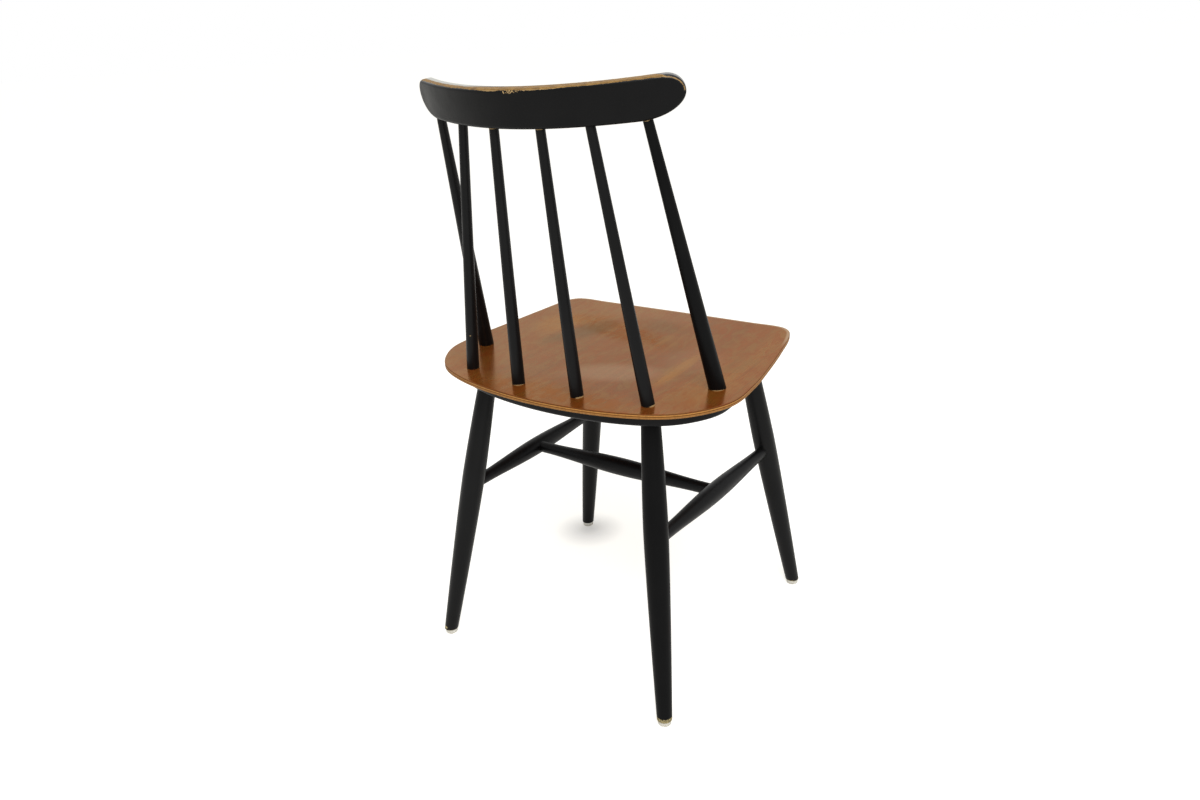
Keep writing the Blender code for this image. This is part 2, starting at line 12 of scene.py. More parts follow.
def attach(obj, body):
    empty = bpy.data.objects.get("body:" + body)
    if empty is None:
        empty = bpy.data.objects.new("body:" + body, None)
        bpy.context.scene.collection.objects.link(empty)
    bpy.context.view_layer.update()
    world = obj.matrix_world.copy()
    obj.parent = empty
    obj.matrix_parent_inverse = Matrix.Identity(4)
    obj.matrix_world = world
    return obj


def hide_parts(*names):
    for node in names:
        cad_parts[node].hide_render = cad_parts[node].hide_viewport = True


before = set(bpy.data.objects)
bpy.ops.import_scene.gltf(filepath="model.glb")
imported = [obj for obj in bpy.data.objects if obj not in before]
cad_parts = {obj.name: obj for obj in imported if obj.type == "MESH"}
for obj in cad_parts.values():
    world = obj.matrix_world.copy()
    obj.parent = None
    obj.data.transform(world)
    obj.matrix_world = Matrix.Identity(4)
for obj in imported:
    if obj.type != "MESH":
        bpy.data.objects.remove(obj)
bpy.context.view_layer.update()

MM = 0.001

# Plywood seat
SEAT_HEIGHT = 0.4308
SEAT_WIDTH = 0.474
SEAT_DEPTH = 0.3722
SEAT_BACK = 0.0047
SEAT_THICKNESS = 0.0068
SEAT_EDGE_ROUND = 0.0013
SEAT_FRONT_RISE = 0.0077
SEAT_END_RISE = 0.0045
SEAT_SIDE_RISE = 0.0014
SEAT_OUTLINE_SHARES = (
    (0.0, 1.0), (0.321, 0.97), (0.592, 0.889), (0.788, 0.771), (0.922, 0.59),
    (0.994, 0.381), (0.99, 0.087), (0.968, -0.134), (0.907, -0.59), (0.847, -0.895),
    (0.769, -0.98), (0.566, -0.99), (0.0, -1.0),
)
SEAT_SIDE = SEAT_WIDTH / 2
SEAT_REAR = SEAT_BACK + SEAT_DEPTH / 2
SEAT_FRONT = SEAT_BACK - SEAT_DEPTH / 2
REST_GAP = 0.0004

# Bent plate and straight batten under the seat
PLATE_THICKNESS = 0.0206
PLATE_DEPTH = 0.143
PLATE_SIDE_INSET = 0.0221
PLATE_REAR_INSET = 0.0238
PLATE_ARM_WIDTH = 0.062
PLATE_REAR_WIDTH = 0.064
PLATE_FRONT = SEAT_REAR - PLATE_REAR_INSET - PLATE_DEPTH
PLATE_EDGE_ROUND = 0.005
BATTEN_OVERHANG = 0.0313
BATTEN_WIDTH = 0.044
BATTEN_THICKNESS = 0.02
BATTEN_EDGE_ROUND = 0.004

# Legs and glides. The right front foot stands ahead of the left one.
FEET_DEPTH = 0.3872
FEET_BACK = 0.0042
REAR_FEET_WIDTH = 0.3912
FRONT_FEET_WIDTH = 0.4064
FRONT_FEET_STAGGER = 0.0154
REAR_LEG_SIDE_INSET = 0.0992
REAR_LEG_END_INSET = 0.0726
FRONT_LEG_SIDE_INSET = 0.1015
FRONT_LEG_END_INSET = 0.0321
LEG_FOOT_DIAMETER = 0.0202
LEG_BELLY_DIAMETER = 0.0332
LEG_BELLY_DISTANCE = 0.265
LEG_TOP_DIAMETER = 0.0254
LEG_LOWER_CURVE = 1.42
LEG_UPPER_CURVE = 1.5
LEG_FOOT_CHAMFER = 0.0012
LEG_TOP_INLET = 0.006
GLIDE_DIAMETER = 0.018
GLIDE_HEIGHT = 0.0072
GLIDE_ROUND = 0.0016

# Stretchers
STRETCHER_HEIGHT = 0.245
STRETCHER_END_DIAMETER = 0.0175
STRETCHER_BELLY_DIAMETER = 0.0271
SIDE_TENON_LENGTH = 0.012
SIDE_STRAIGHT_END = 0.008
CROSS_TENON_LENGTH = 0.009
CROSS_STRAIGHT_END = 0.02

# Spindles: half their spacing at the seat, inset from its rear, half their spacing at the rail,
# and diameter at the foot
RAIL_WIDTH = 0.3996
SPINDLES = (
    ("outer", SEAT_SIDE - 0.0406, 0.1407, RAIL_WIDTH / 2 - 0.0439, 0.0225),
    ("middle", SEAT_SIDE - 0.0912, 0.0552, RAIL_WIDTH / 2 - 0.1038, 0.0176),
    ("inner", 0.0972 / 2, 0.0387, 0.07 / 2, 0.0176),
)
SPINDLE_TOP_DIAMETER = 0.0117
SPINDLE_FOOT_INLET = 0.0035
SPINDLE_HEAD_INLET = 0.012

# Top rail
RAIL_RISE = 0.3281
RAIL_REAR_INSET = 0.0095
RAIL_LEAN = 0.1693
RAIL_BEND_RADIUS = 0.312
RAIL_HEIGHT = 0.0461
RAIL_THICKNESS = 0.018
RAIL_NOSE_HEIGHT = 0.0276
RAIL_LOWER_CORNER = 0.0475
RAIL_UPPER_CORNER = 0.019
RAIL_EDGE_ROUND = 0.0045

# Screws
SCREW_HEAD_DIAMETER = 0.008
SCREW_SHANK_DIAMETER = 0.004
SCREW_SLOT_WIDTH = 0.001
SCREW_SLOT_DEPTH = 0.0011
SCREW_RECESS = 0.0003
PLATE_SCREW_BEARINGS = (20, 53, 90, 127, 160)
BATTEN_SCREW_SPACING = 0.085
SCREW_HEAD_BREAK = 0.0003
SCREW_HEAD_BAND = 0.0006
SCREW_SHOWN_LENGTH = 0.008
SCREW_MOUTH_GAP = 0.0003
SCREW_MOUTH_BELOW = 0.004
SCREW_MOUTH_STRAIGHT = 0.0012
SCREW_MOUTH_DEPTH = 0.0045
# Radians that a slot is turned per metre of its screw's place
SCREW_TURN = (97.0, 31.0)

UP = Vector((0.0, 0.0, 1.0))
SIDES = (("left", 1), ("right", -1))
WELD_DISTANCE = 1e-6
SMOOTH_ANGLE = 0.7
# The field called bare where the paint is whole
PAINTED = -1.0
PAINTED_ROD = -1.5
PAINTED_RAIL = -3.0


# Mesh helpers

def add_object(name, data):
    item = bpy.data.objects.new(name, data)
    bpy.context.scene.collection.objects.link(item)
    return item


def add_mesh(name, bm):
    """Turn a bmesh into an object of the scene."""
    mesh = bpy.data.meshes.new(name)
    bm.to_mesh(mesh)
    bm.free()
    return add_object(name, mesh)


def shade(mesh):
    mesh.shade_smooth()
    mesh.set_sharp_from_angle(angle=SMOOTH_ANGLE)


def add_piece(name, bm, material, replaced):
    """Make a mesh object that stands for nodes of the solids."""
    bmesh.ops.remove_doubles(bm, verts=bm.verts, dist=WELD_DISTANCE)
    bmesh.ops.recalc_face_normals(bm, faces=bm.faces)
    item = add_mesh(name, bm)
    shade(item.data)
    item.data.materials.append(material)
    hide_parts(*replaced)
    return item


def set_field(item, name, function):
    """Store a value on each vertex, worked out from its place."""
    values = [function(vertex.co) for vertex in item.data.vertices]
    field = item.data.attributes.new(name, "FLOAT", "POINT")
    field.data.foreach_set("value", values)


def turn_profile(profile, sides):
    """Turn (radius, height) points, from axis to axis, into a closed solid round Z."""
    bm = bmesh.new()
    verts = [bm.verts.new((radius, 0.0, height)) for radius, height in profile]
    edges = [bm.edges.new(pair) for pair in zip(verts, verts[1:])]
    bmesh.ops.spin(bm, geom=verts + edges, cent=(0, 0, 0), axis=(0, 0, 1),
                   angle=tau, steps=sides, use_merge=True)
    bmesh.ops.remove_doubles(bm, verts=bm.verts, dist=WELD_DISTANCE)
    return bm


def turned(node, suffix, start, direction, stations, material, sides=48):
    """A turned piece for a node, from (radius, distance) stations along an axis.

    Each vertex keeps its place on the piece's own axes in the attribute called local.
    """
    profile = [(0.0, stations[0][1]), *stations, (0.0, stations[-1][1])]
    bm = turn_profile(profile, sides)
    local = bm.verts.layers.float_vector.new("local")
    for vert in bm.verts:
        vert[local] = vert.co
    bm.transform(Matrix.LocRotScale(start, direction.to_track_quat("Z", "Y"), None))
    return add_piece(node + suffix, bm, material, [node])


def join_loops(bm, loops):
    """Join loops of equally many vertices by quads."""
    count = len(loops[0])
    for low, high in zip(loops, loops[1:]):
        for i in range(count):
            j = (i + 1) % count
            bm.faces.new((low[i], low[j], high[j], high[i]))


def skin_rings(bm, rings):
    """Join rings of equally many points by quads, and return the vertex loops."""
    loops = [[bm.verts.new(point) for point in ring] for ring in rings]
    join_loops(bm, loops)
    return loops


def fan(bm, loop, centre):
    """Close a loop with triangles to a centre point."""
    middle = bm.verts.new(centre)
    for start, end in zip(loop, loop[1:] + loop[:1]):
        bm.faces.new((start, end, middle))


def cut_away(item, cutters):
    """Take closed cutters out of a piece for good."""
    for cutter in cutters:
        modifier = item.modifiers.new("cut", "BOOLEAN")
        modifier.operation = "DIFFERENCE"
        modifier.solver = "EXACT"
        modifier.object = cutter
    depsgraph = bpy.context.evaluated_depsgraph_get()
    mesh = bpy.data.meshes.new_from_object(item.evaluated_get(depsgraph))
    item.modifiers.clear()
    old = item.data
    item.data = mesh
    bpy.data.meshes.remove(old)
    for cutter in cutters:
        bpy.data.objects.remove(cutter, do_unlink=True)


def make_cutter(bm, matrix):
    """A closed object that is only there to be cut away."""
    bmesh.ops.recalc_face_normals(bm, faces=bm.faces)
    item = add_mesh("cutter", bm)
    item.matrix_world = matrix
    return item


def smooth_through(points, steps):
    """A smooth curve through a half outline that meets x = 0 squarely at both ends."""
    spots = [Vector((x, y, 0.0)) for x, y in points]
    flip = Vector((-1.0, 1.0, 1.0))
    padded = [spots[1] * flip, *spots, spots[-2] * flip]
    curve = []
    for before, start, end, after in zip(padded, padded[1:], padded[2:], padded[3:]):
        reach = (end - start).length / 3
        lead = start + (end - before).normalized() * reach
        trail = end - (after - start).normalized() * reach
        span = interpolate_bezier(start, lead, trail, end, steps + 1)
        curve.extend((spot.x, spot.y) for spot in span[:-1])
    curve.append((0.0, spots[-1].y))
    return curve


def inset_outline(outline, inset):
    """Move a closed clockwise outline inwards by the same distance all round."""
    moved = []
    for i, (x, y) in enumerate(outline):
        before = Vector(outline[i - 1])
        after = Vector(outline[(i + 1) % len(outline)])
        along = (after - before).normalized()
        moved.append((x + along.y * inset, y - along.x * inset))
    return moved


def rounded_arris(corner, turns):
    """(inset, depth) points of a quarter circle, from the face to the edge."""
    angles = [step / turns * pi / 2 for step in range(turns + 1)]
    return [(corner * (1 - sin(turn)), corner * (1 - cos(turn))) for turn in angles]


def rounded_edge(thickness, corner, turns, flats):
    """(inset, depth) points round an edge, from the upper face to the lower one."""
    upper = rounded_arris(corner, turns)
    lower = [(inset, thickness - depth) for inset, depth in reversed(upper)]
    straight = thickness - 2 * corner
    middle = [(0.0, corner + straight * step / flats) for step in range(1, flats)]
    return upper + middle + lower


def soft_step(value, low, high):
    share = min(1.0, max(0.0, (value - low) / (high - low)))
    return share * share * (3 - 2 * share)


def along_table(table, place):
    """Read a value between the rows of a (place, value) table that runs upwards."""
    if place <= table[0][0]:
        return table[0][1]
    for (low, start), (high, end) in zip(table, table[1:]):
        if place <= high:
            return start + (end - start) * (place - low) / (high - low)
    return table[-1][1]


# Materials. Colours are shares of red, green and blue light.

# What most of a noise lies between
NOISE_SPAN = (0.3, 0.7)
SHADER_INPUTS = ("Base Color", "Roughness", "Normal", "Specular IOR Level", "Metallic", "Specular Tint")


class Tree:
    """Short ways to add and join the nodes of a material or of the world."""

    def __init__(self, owner):
        owner.use_nodes = True
        self.owner = owner
        self.nodes = owner.node_tree.nodes
        self.links = owner.node_tree.links

    def feed(self, socket, value):
        if isinstance(value, bpy.types.NodeSocket):
            self.links.new(value, socket)
        else:
            socket.default_value = (*value, 1.0) if socket.type == "RGBA" else value

    def add(self, kind, inputs=None, output=0, **settings):
        """Add a node and return one of its outputs."""
        node = self.nodes.new("ShaderNode" + kind)
        for key, value in settings.items():
            setattr(node, key, value)
        for key, value in (inputs or {}).items():
            self.feed(node.inputs[key], value)
        return node.outputs[output]

    def math(self, operation, first, second):
        return self.add("Math", {0: first, 1: second}, operation=operation)

    def times(self, first, second):
        return self.math("MULTIPLY", first, second)

    def field(self, name):
        return self.add("Attribute", output="Fac", attribute_name=name)

    def place(self):
        """Places in the chair's frame."""
        return self.add("TexCoord", output="Object")

    def noise(self, repeats, detail=2.0, roughness=0.5, distortion=0.0, source=None):
        """Soft noise with so many repeats per metre, all ways or by axis, over a source's places."""
        if not isinstance(repeats, tuple):
            repeats = (repeats, repeats, repeats)
        spot = self.add("Mapping", {"Vector": source or self.place(), "Scale": repeats})
        return self.add("TexNoise", {"Vector": spot, "Scale": 1.0, "Detail": detail,
                                     "Roughness": roughness, "Distortion": distortion})

    def spread(self, value, low, high, to_low=0.0, to_high=1.0):
        return self.add("MapRange", {"Value": value, "From Min": low, "From Max": high,
                                     "To Min": to_low, "To Max": to_high})

    def vary(self, noise_value, low=0.0, high=1.0):
        """Spread a noise from low to high."""
        return self.spread(noise_value, *NOISE_SPAN, low, high)

    def mix(self, share, first, second):
        return self.add("Mix", {0: share, 6: first, 7: second}, output=2, data_type="RGBA")

    def tint(self, colour, layers):
        """Mix in each layer's colour, up to its share, where its value runs from low to high."""
        for value, low, high, share, layer in layers:
            colour = self.mix(self.spread(value, low, high, 0.0, share), colour, layer)
        return colour

    def blend(self, share, first, second):
        return self.add("Mix", {0: share, 2: first, 3: second})

    def ramp(self, value, stops):
        node = self.nodes.new("ShaderNodeValToRGB")
        made = node.color_ramp.elements
        for number, (place, colour) in enumerate(stops):
            stop = made[number] if number < 2 else made.new(place)
            stop.position = place
            stop.color = (*colour, 1.0)
        self.feed(node.inputs[0], value)
        return node.outputs[0]

    def bump(self, height, strength, distance, normal=None):
        inputs = {"Height": height, "Strength": strength, "Distance": distance}
        if normal:
            inputs["Normal"] = normal
        return self.add("Bump", inputs)

    def finish(self, *values):
        """Feed the shader's inputs in the order of SHADER_INPUTS, and return the material."""
        shader = self.nodes["Principled BSDF"]
        for name, value in zip(SHADER_INPUTS, values):
            self.feed(shader.inputs[name], value)
        return self.owner


def start_material(name):
    return Tree(bpy.data.materials.new(name))


def painted_wood(name, is_turned, sheen, tone):
    """Black satin paint, with bare wood where the field called bare is above zero.

    The polish field marks paint that hands have worn to a gloss, where a pale reflection is also
    painted into its colour, and below zero it marks wood that has weathered to an olive grey.
    Sheen is how much the paint mirrors, and tone is how light it is. The grain runs along a turned
    piece's axis, and else along X.
    """
    tree = start_material(name)
    polish_and_reflection = tree.field("polish_and_reflection")
    ragged = tree.vary(tree.noise(900), -0.22, 0.22)
    worn = tree.math("ADD", tree.field("bare"), ragged)
    mask = tree.spread(worn, -0.08, 0.1)
    paint = tree.mix(tree.vary(tree.noise(14, 3)), (0.8 * tone, 0.8 * tone, 0.85 * tone),
                     (1.2 * tone, 1.2 * tone, 1.22 * tone))
    paint = tree.tint(paint, (
        (tree.noise(2600, 1), 0.735, 0.8, 0.3, (0.1, 0.1, 0.095)),
        (worn, -0.55, 0.0, 0.5, (0.024, 0.017, 0.01)),
        # Painted reflection: polished paint is painted pale, as if it mirrored the white surroundings
        (polish_and_reflection, 0.6, 1.0, 1.0, (0.25, 0.25, 0.2)),
    ))

    if is_turned:
        axes = tree.add("Attribute", output="Vector", attribute_name="local")
        streak = tree.noise((900, 900, 60), 4, 0.6, source=axes)
    else:
        streak = tree.noise((60, 900, 900), 4, 0.6)
    wood = tree.ramp(streak, ((0.28, (0.105, 0.05, 0.015)), (0.45, (0.2, 0.11, 0.03)),
                              (0.6, (0.265, 0.152, 0.044)), (0.78, (0.34, 0.21, 0.075))))
    wood = tree.tint(wood, (
        (tree.noise(150, 3), 0.52, 0.68, 0.75, (0.12, 0.066, 0.024)),
        (polish_and_reflection, 0.3, 0.0, 0.65, (0.42, 0.3, 0.15)),
        (polish_and_reflection, 0.0, -1.0, 1.0, (0.4, 0.34, 0.17)),
    ))

    satin = tree.vary(tree.noise(45, 4), 0.33, 0.42)
    rough = tree.blend(mask, tree.blend(polish_and_reflection, satin, 0.1), 0.5)
    shine = tree.times(polish_and_reflection, tree.spread(mask, 0.0, 1.0, 1.0, 0.08))
    peel = tree.times(tree.noise(420), 0.35)
    normal = tree.bump(tree.math("ADD", peel, tree.noise(70)), 0.22, 0.0006)
    normal = tree.bump(tree.times(mask, -1.0), 0.8, 0.00018, normal)
    normal = tree.bump(tree.times(streak, mask), 0.5, 0.00015, normal)
    colour = tree.mix(mask, paint, wood)
    return tree.finish(colour, rough, normal, tree.blend(shine, sheen, 0.9))


def teak_ply():
    """Varnished teak veneer on both faces, ply between them at the edge, with painted reflection, painted
    light and painted shade on the veneer.
    """
    tree = start_material("teak_ply")
    sway = tree.spread(tree.noise((5, 1.8, 5)), 0.0, 1.0, -0.016, 0.016)
    shift = tree.add("CombineXYZ", {0: sway, 1: 0.0, 2: 0.0})
    bent = tree.add("VectorMath", {0: tree.place(), 1: shift}, operation="ADD")
    broad = tree.noise((13, 1.1, 1), source=bent)
    bands = tree.noise((60, 2.2, 1), 3, 0.6, source=bent)
    lines = tree.noise((430, 9, 1), 4, 0.65, source=bent)
    pores = tree.noise((2300, 70, 1), 2, 0.6, source=bent)
    figure = tree.noise((85, 42, 1), 3, 0.6, 0.8)
    gold_and_shade = tree.field("gold_and_shade")
    reflection_haze = tree.field("reflection_haze")

    teak = tree.ramp(broad, ((0.36, (0.165, 0.036, 0.0065)), (0.48, (0.185, 0.045, 0.008)),
                             (0.56, (0.205, 0.056, 0.01)), (0.66, (0.22, 0.066, 0.012))))
    teak = tree.tint(teak, (
        (bands, 0.52, 0.7, 0.45, (0.235, 0.08, 0.0145)),
        (bands, 0.46, 0.28, 0.35, (0.14, 0.038, 0.007)),
        (figure, 0.48, 0.61, 0.6, (0.21, 0.04, 0.0068)),
        (figure, 0.47, 0.36, 0.55, (0.19, 0.07, 0.0105)),
        # Painted light and shade: golden pools partly brighten the dished seat, darker pools paint its
        # shade
        (gold_and_shade, 0.0, 1.0, 1.0, (0.28, 0.098, 0.012)),
        (gold_and_shade, 0.0, -1.0, 1.0, (0.1, 0.036, 0.008)),
        (lines, 0.5, 0.3, 0.22, (0.11, 0.032, 0.0065)),
        (lines, 0.56, 0.75, 0.18, (0.25, 0.095, 0.02)),
        (pores, 0.62, 0.74, 0.4, (0.065, 0.02, 0.0055)),
    ))
    # Painted reflection: where the haze field is high the veneer is painted milky, as if it mirrored the
    # white surroundings
    teak = tree.mix(tree.times(reflection_haze, 0.3), teak, (0.34, 0.2, 0.12))

    arris = (0.04, 0.012, 0.005)
    glue = (0.06, 0.022, 0.008)
    pale = (0.42, 0.19, 0.05)
    tan = (0.34, 0.16, 0.047)
    honey = (0.13, 0.046, 0.009)
    depth = tree.field("ply")
    fray = tree.vary(tree.noise((240, 240, 1500)), -0.1, 0.1)
    layer = tree.spread(tree.math("ADD", depth, fray), 0.0, SEAT_THICKNESS / MM)
    plies = tree.ramp(layer, (
        (0.0, arris), (0.15, glue), (0.19, pale), (0.38, pale), (0.42, honey),
        (0.56, honey), (0.6, tan), (0.76, tan), (0.79, honey), (0.83, tan), (0.95, tan),
        (0.975, glue),
    ))
    ends = tree.noise((500, 500, 60), 3)
    plies = tree.tint(plies, ((ends, 0.45, 0.72, 0.45, (0.15, 0.062, 0.018)),))

    upper_face = tree.spread(depth, 0.3, 0.4, 1.0, 0.0)
    varnish = tree.math("MAXIMUM", upper_face, tree.spread(depth, 6.38, 6.48))
    cloudy = tree.math("ADD", reflection_haze, tree.spread(figure, 0.38, 0.6, 0.22, -0.22))
    gloss = tree.spread(cloudy, -1.0, 1.0, 0.08, 0.62)
    wiped = tree.vary(tree.noise(9, 4, 0.6), 0.19, 0.25)
    rough = tree.blend(varnish, 0.55, wiped)
    relief = tree.math("ADD", lines, tree.times(pores, 0.5))
    normal = tree.bump(relief, 0.1, 0.0003)
    normal = tree.bump(tree.noise((38, 26, 38)), 0.1, 0.0012, normal)
    return tree.finish(tree.mix(varnish, plies, teak), rough, normal,
                       tree.blend(varnish, 0.1, gloss), tree.times(varnish, 0.45),
                       (1.0, 0.88, 0.56))


def scuffed_nylon():
    tree = start_material("scuffed_nylon")
    cloud = tree.noise(160, 3)
    colour = tree.mix(tree.spread(cloud, 0.35, 0.7), (0.74, 0.72, 0.65), (0.6, 0.57, 0.49))
    # Darker towards the bottom of the glide, in blotches
    blotches = tree.spread(tree.noise((600, 600, 240), 3), 0.4, 0.62)
    darkening = tree.times(tree.field("lower_darkening"), blotches)
    colour = tree.mix(darkening, colour, (0.22, 0.19, 0.14))
    scratch = tree.noise((1500, 1500, 300))
    normal = tree.bump(scratch, 0.25, 0.0002)
    return tree.finish(colour, tree.vary(cloud, 0.42, 0.58), normal, 0.4)


def dull_steel():
    tree = start_material("dull_steel")
    cloud = tree.noise(300, 3)
    spots = tree.noise(500, 4)
    colour = tree.mix(tree.vary(cloud), (0.46, 0.45, 0.42), (0.26, 0.25, 0.23))
    colour = tree.tint(colour, ((spots, 0.6, 0.72, 0.6, (0.16, 0.075, 0.035)),))
    normal = tree.bump(spots, 0.2, 0.0002)
    return tree.finish(colour, tree.vary(cloud, 0.34, 0.5), normal, 0.5, 1.0)


# Seat. Pools of painted reflection: above zero the varnish is painted milky and made glossier, as
# where it mirrors the white surroundings, and below zero it is clear and less glossy. Place in plan,
# half width and half depth in millimetres, turn in degrees, and how much.

REFLECTION_HAZE_POOLS = (
    (-45, 62, 90, 42, 22, 1.0),
    (0, 178, 215, 72, 0, -0.8),
    (175, 110, 60, 60, 0, -0.5),
    (-185, 100, 60, 60, 0, -0.5),
    (40, -78, 150, 44, -14, -0.9),
    (-120, -20, 60, 60, 0, 0.35),
    (20, -160, 150, 40, 0, 0.3),
)

# Pools where the veneer is golden instead of red, partly its own colour and partly painted light
# on the dished seat, or, below zero, darker as painted shade of the dish
GOLD_AND_SHADE_POOLS = (
    (-119.5, 17, 14, 85, 0, 0.80),
    (0, 178, 215, 72, 0, 0.25),
    (150, -70, 46, 60, 0, 0.60),
    (90, -56, 100, 36, 63, -0.65),
    (-60, -60, 90, 50, 30, 0.12),
    (5, -122, 85, 32, -15, -0.40),
    (70, -110, 90, 46, 20, 0.25),
    (-190, 55, 40, 80, 0, 0.35),
)

# Share of its size that a pool fills evenly
POOL_CORE = 0.35

# Rings of vertices on the faces, and two more beside the upper face's edge
SEAT_UPPER_RINGS = 40
SEAT_LOWER_RINGS = 16
SEAT_EDGE_RINGS = (0.984, 0.991)

# Pale line along the front edge, painted in the milky colour of the painted reflection: share of
# the way to the edge where it begins, depth below the face where it ends, distance in front of the
# middle where it sets in, and how milky
EDGE_LINE_SHARES = (0.983, 0.991)
EDGE_LINE_DEPTHS = (0.0006, 0.0008)
EDGE_LINE_FRONT = (0.11, 0.15)
EDGE_LINE_STRENGTH = 3.3


def seat_top(x, y):
    """Height of the seat's upper face, which is dished across and along."""
    across = x / SEAT_SIDE
    along = (y - SEAT_BACK) / (SEAT_DEPTH / 2)
    tilt = -SEAT_FRONT_RISE * along
    dish = SEAT_END_RISE * along ** 2 + SEAT_SIDE_RISE * across ** 2
    return SEAT_HEIGHT + tilt + dish


def seat_outline(steps, side_inset=0.0, rear_inset=0.0):
    """Closed plan of the seat, drawn in at the sides and at the rear if asked."""
    half = []
    for across, along in SEAT_OUTLINE_SHARES:
        reach = SEAT_DEPTH / 2 - (rear_inset if along > 0 else 0.0)
        half.append((across * (SEAT_SIDE - side_inset), along * reach + SEAT_BACK))
    curve = smooth_through(half, steps)
    return curve + [(-x, y) for x, y in reversed(curve[1:-1])]


def seat_ring(outline, share, depth):
    """A ring part of the way from the seat's middle to its edge, below the upper face."""
    places = [(x * share, (y - SEAT_BACK) * share + SEAT_BACK) for x, y in outline]
    return [(x, y, seat_top(x, y) - depth) for x, y in places]


def pool_sum(pools, spot):
    """What a table of soft oval pools adds up to at a place on the seat."""
    total = 0.0
    for x, y, wide, deep, turn, amount in pools:
        right = spot.x / MM - x
        rear = spot.y / MM - y
        along = right * cos(radians(turn)) + rear * sin(radians(turn))
        aside = rear * cos(radians(turn)) - right * sin(radians(turn))
        total += amount * (1 - soft_step(hypot(along / wide, aside / deep), POOL_CORE, 1.0))
    return total


def make_seat(material):
    bm = bmesh.new()
    outline = seat_outline(18)
    flat = inset_outline(outline, SEAT_EDGE_ROUND)
    shares = [step / SEAT_UPPER_RINGS for step in range(1, SEAT_UPPER_RINGS)]
    upper = [seat_ring(flat, share, 0.0) for share in (*shares, *SEAT_EDGE_RINGS)]
    lower = [seat_ring(flat, step / SEAT_LOWER_RINGS, SEAT_THICKNESS)
             for step in range(SEAT_LOWER_RINGS - 1, 0, -1)]
    rim = []
    for inset, depth in rounded_edge(SEAT_THICKNESS, SEAT_EDGE_ROUND, 8, 5):
        edge = inset_outline(outline, inset)
        rim.append([(x, y, seat_top(x, y) - depth) for x, y in edge])
    loops = skin_rings(bm, upper + rim + lower)
    fan(bm, loops[0], (0.0, SEAT_BACK, seat_top(0.0, SEAT_BACK)))
    fan(bm, loops[-1], (0.0, SEAT_BACK, seat_top(0.0, SEAT_BACK) - SEAT_THICKNESS))
    seat = add_piece("seat_plywood", bm, material, ["seat_shell"])
    set_field(seat, "ply", lambda spot: (seat_top(spot.x, spot.y) - spot.z) / MM)
    rays = [(atan2(y - SEAT_BACK, x), hypot(x, y - SEAT_BACK)) for x, y in flat]

    def front_edge_line(spot):
        """One on the pale line painted along the front edge, and less away from it."""
        if spot.y > SEAT_BACK:
            return 0.0
        bearing = atan2(spot.y - SEAT_BACK, spot.x)
        reach = min(rays, key=lambda ray: abs(ray[0] - bearing))[1]
        share = hypot(spot.x, spot.y - SEAT_BACK) / reach
        depth = seat_top(spot.x, spot.y) - spot.z
        line = soft_step(share, *EDGE_LINE_SHARES) * (1 - soft_step(depth, *EDGE_LINE_DEPTHS))
        return line * soft_step(SEAT_BACK - spot.y, *EDGE_LINE_FRONT)

    # The haze field is painted reflection, with the pale line along the front edge added to it
    set_field(seat, "reflection_haze", lambda spot: pool_sum(REFLECTION_HAZE_POOLS, spot) + EDGE_LINE_STRENGTH * front_edge_line(spot))
    set_field(seat, "gold_and_shade", lambda spot: pool_sum(GOLD_AND_SHADE_POOLS, spot))
    return seat


# Underframe

STRIP_END_BEVEL = 0.0008
PLATE_STEPS = 120
BATTEN_STEPS = 40


def strip_section(outer, inner, thickness, corner):
    """Section of a strip under the seat, between two plan points, rounded below."""
    outer = Vector(outer)
    inner = Vector(inner)
    inward = (inner - outer).normalized()
    side = [(0.0, 0.0)]
    side += [(depth, thickness - inset) for inset, depth in rounded_arris(corner, 7)]
    spots = [(outer + inward * shift, depth) for shift, depth in side]
    spots += [(inner - inward * shift, depth) for shift, depth in reversed(side)]
    drop = SEAT_THICKNESS + REST_GAP
    return [(spot.x, spot.y, seat_top(spot.x, spot.y) - drop - depth) for spot, depth in spots]


def make_strip(name, pairs, thickness, corner, material, replaced):
    """A strip that follows the seat's underside, from (outer, inner) plan points."""
    bm = bmesh.new()
    loops = skin_rings(bm, [strip_section(*pair, thickness, corner) for pair in pairs])
    ends = [bm.faces.new(loop) for loop in (loops[0], loops[-1])]
    edges = [edge for face in ends for edge in face.edges]
    bmesh.ops.bevel(bm, geom=edges, offset=STRIP_END_BEVEL, segments=2, affect="EDGES",
                    clamp_overlap=True)
    return add_piece(name, bm, material, replaced)


def under_strip(x, y, thickness):
    """Height of the lower face of a strip under the seat."""
    return seat_top(x, y) - SEAT_THICKNESS - REST_GAP - thickness


def reach_to(outline, centre, direction):
    """Distance from a centre to a closed outline along a unit direction."""
    for i, end in enumerate(outline):
        start = Vector(outline[i - 1]) - centre
        along = Vector(end) - Vector(outline[i - 1])
        spread = direction.x * along.y - direction.y * along.x
        if spread:
            distance = (start.x * along.y - start.y * along.x) / spread
            share = (start.x * direction.y - start.y * direction.x) / spread
            if distance > 0 and 0 <= share <= 1:
                return distance
    raise ValueError("the outline does not surround the centre")


def plate_span(outline, bearing):
    """Outer and inner plan points of the bent plate on one bearing from its middle."""
    centre = Vector((0.0, PLATE_FRONT))
    direction = Vector((cos(bearing), sin(bearing)))
    outer = reach_to(outline, centre, direction)
    side = reach_to(outline, centre, Vector((1.0, 0.0))) - PLATE_ARM_WIDTH
    rear = reach_to(outline, centre, Vector((0.0, 1.0))) - PLATE_REAR_WIDTH
    inner = 1 / hypot(direction.x / side, direction.y / rear)
    return centre + direction * outer, centre + direction * inner


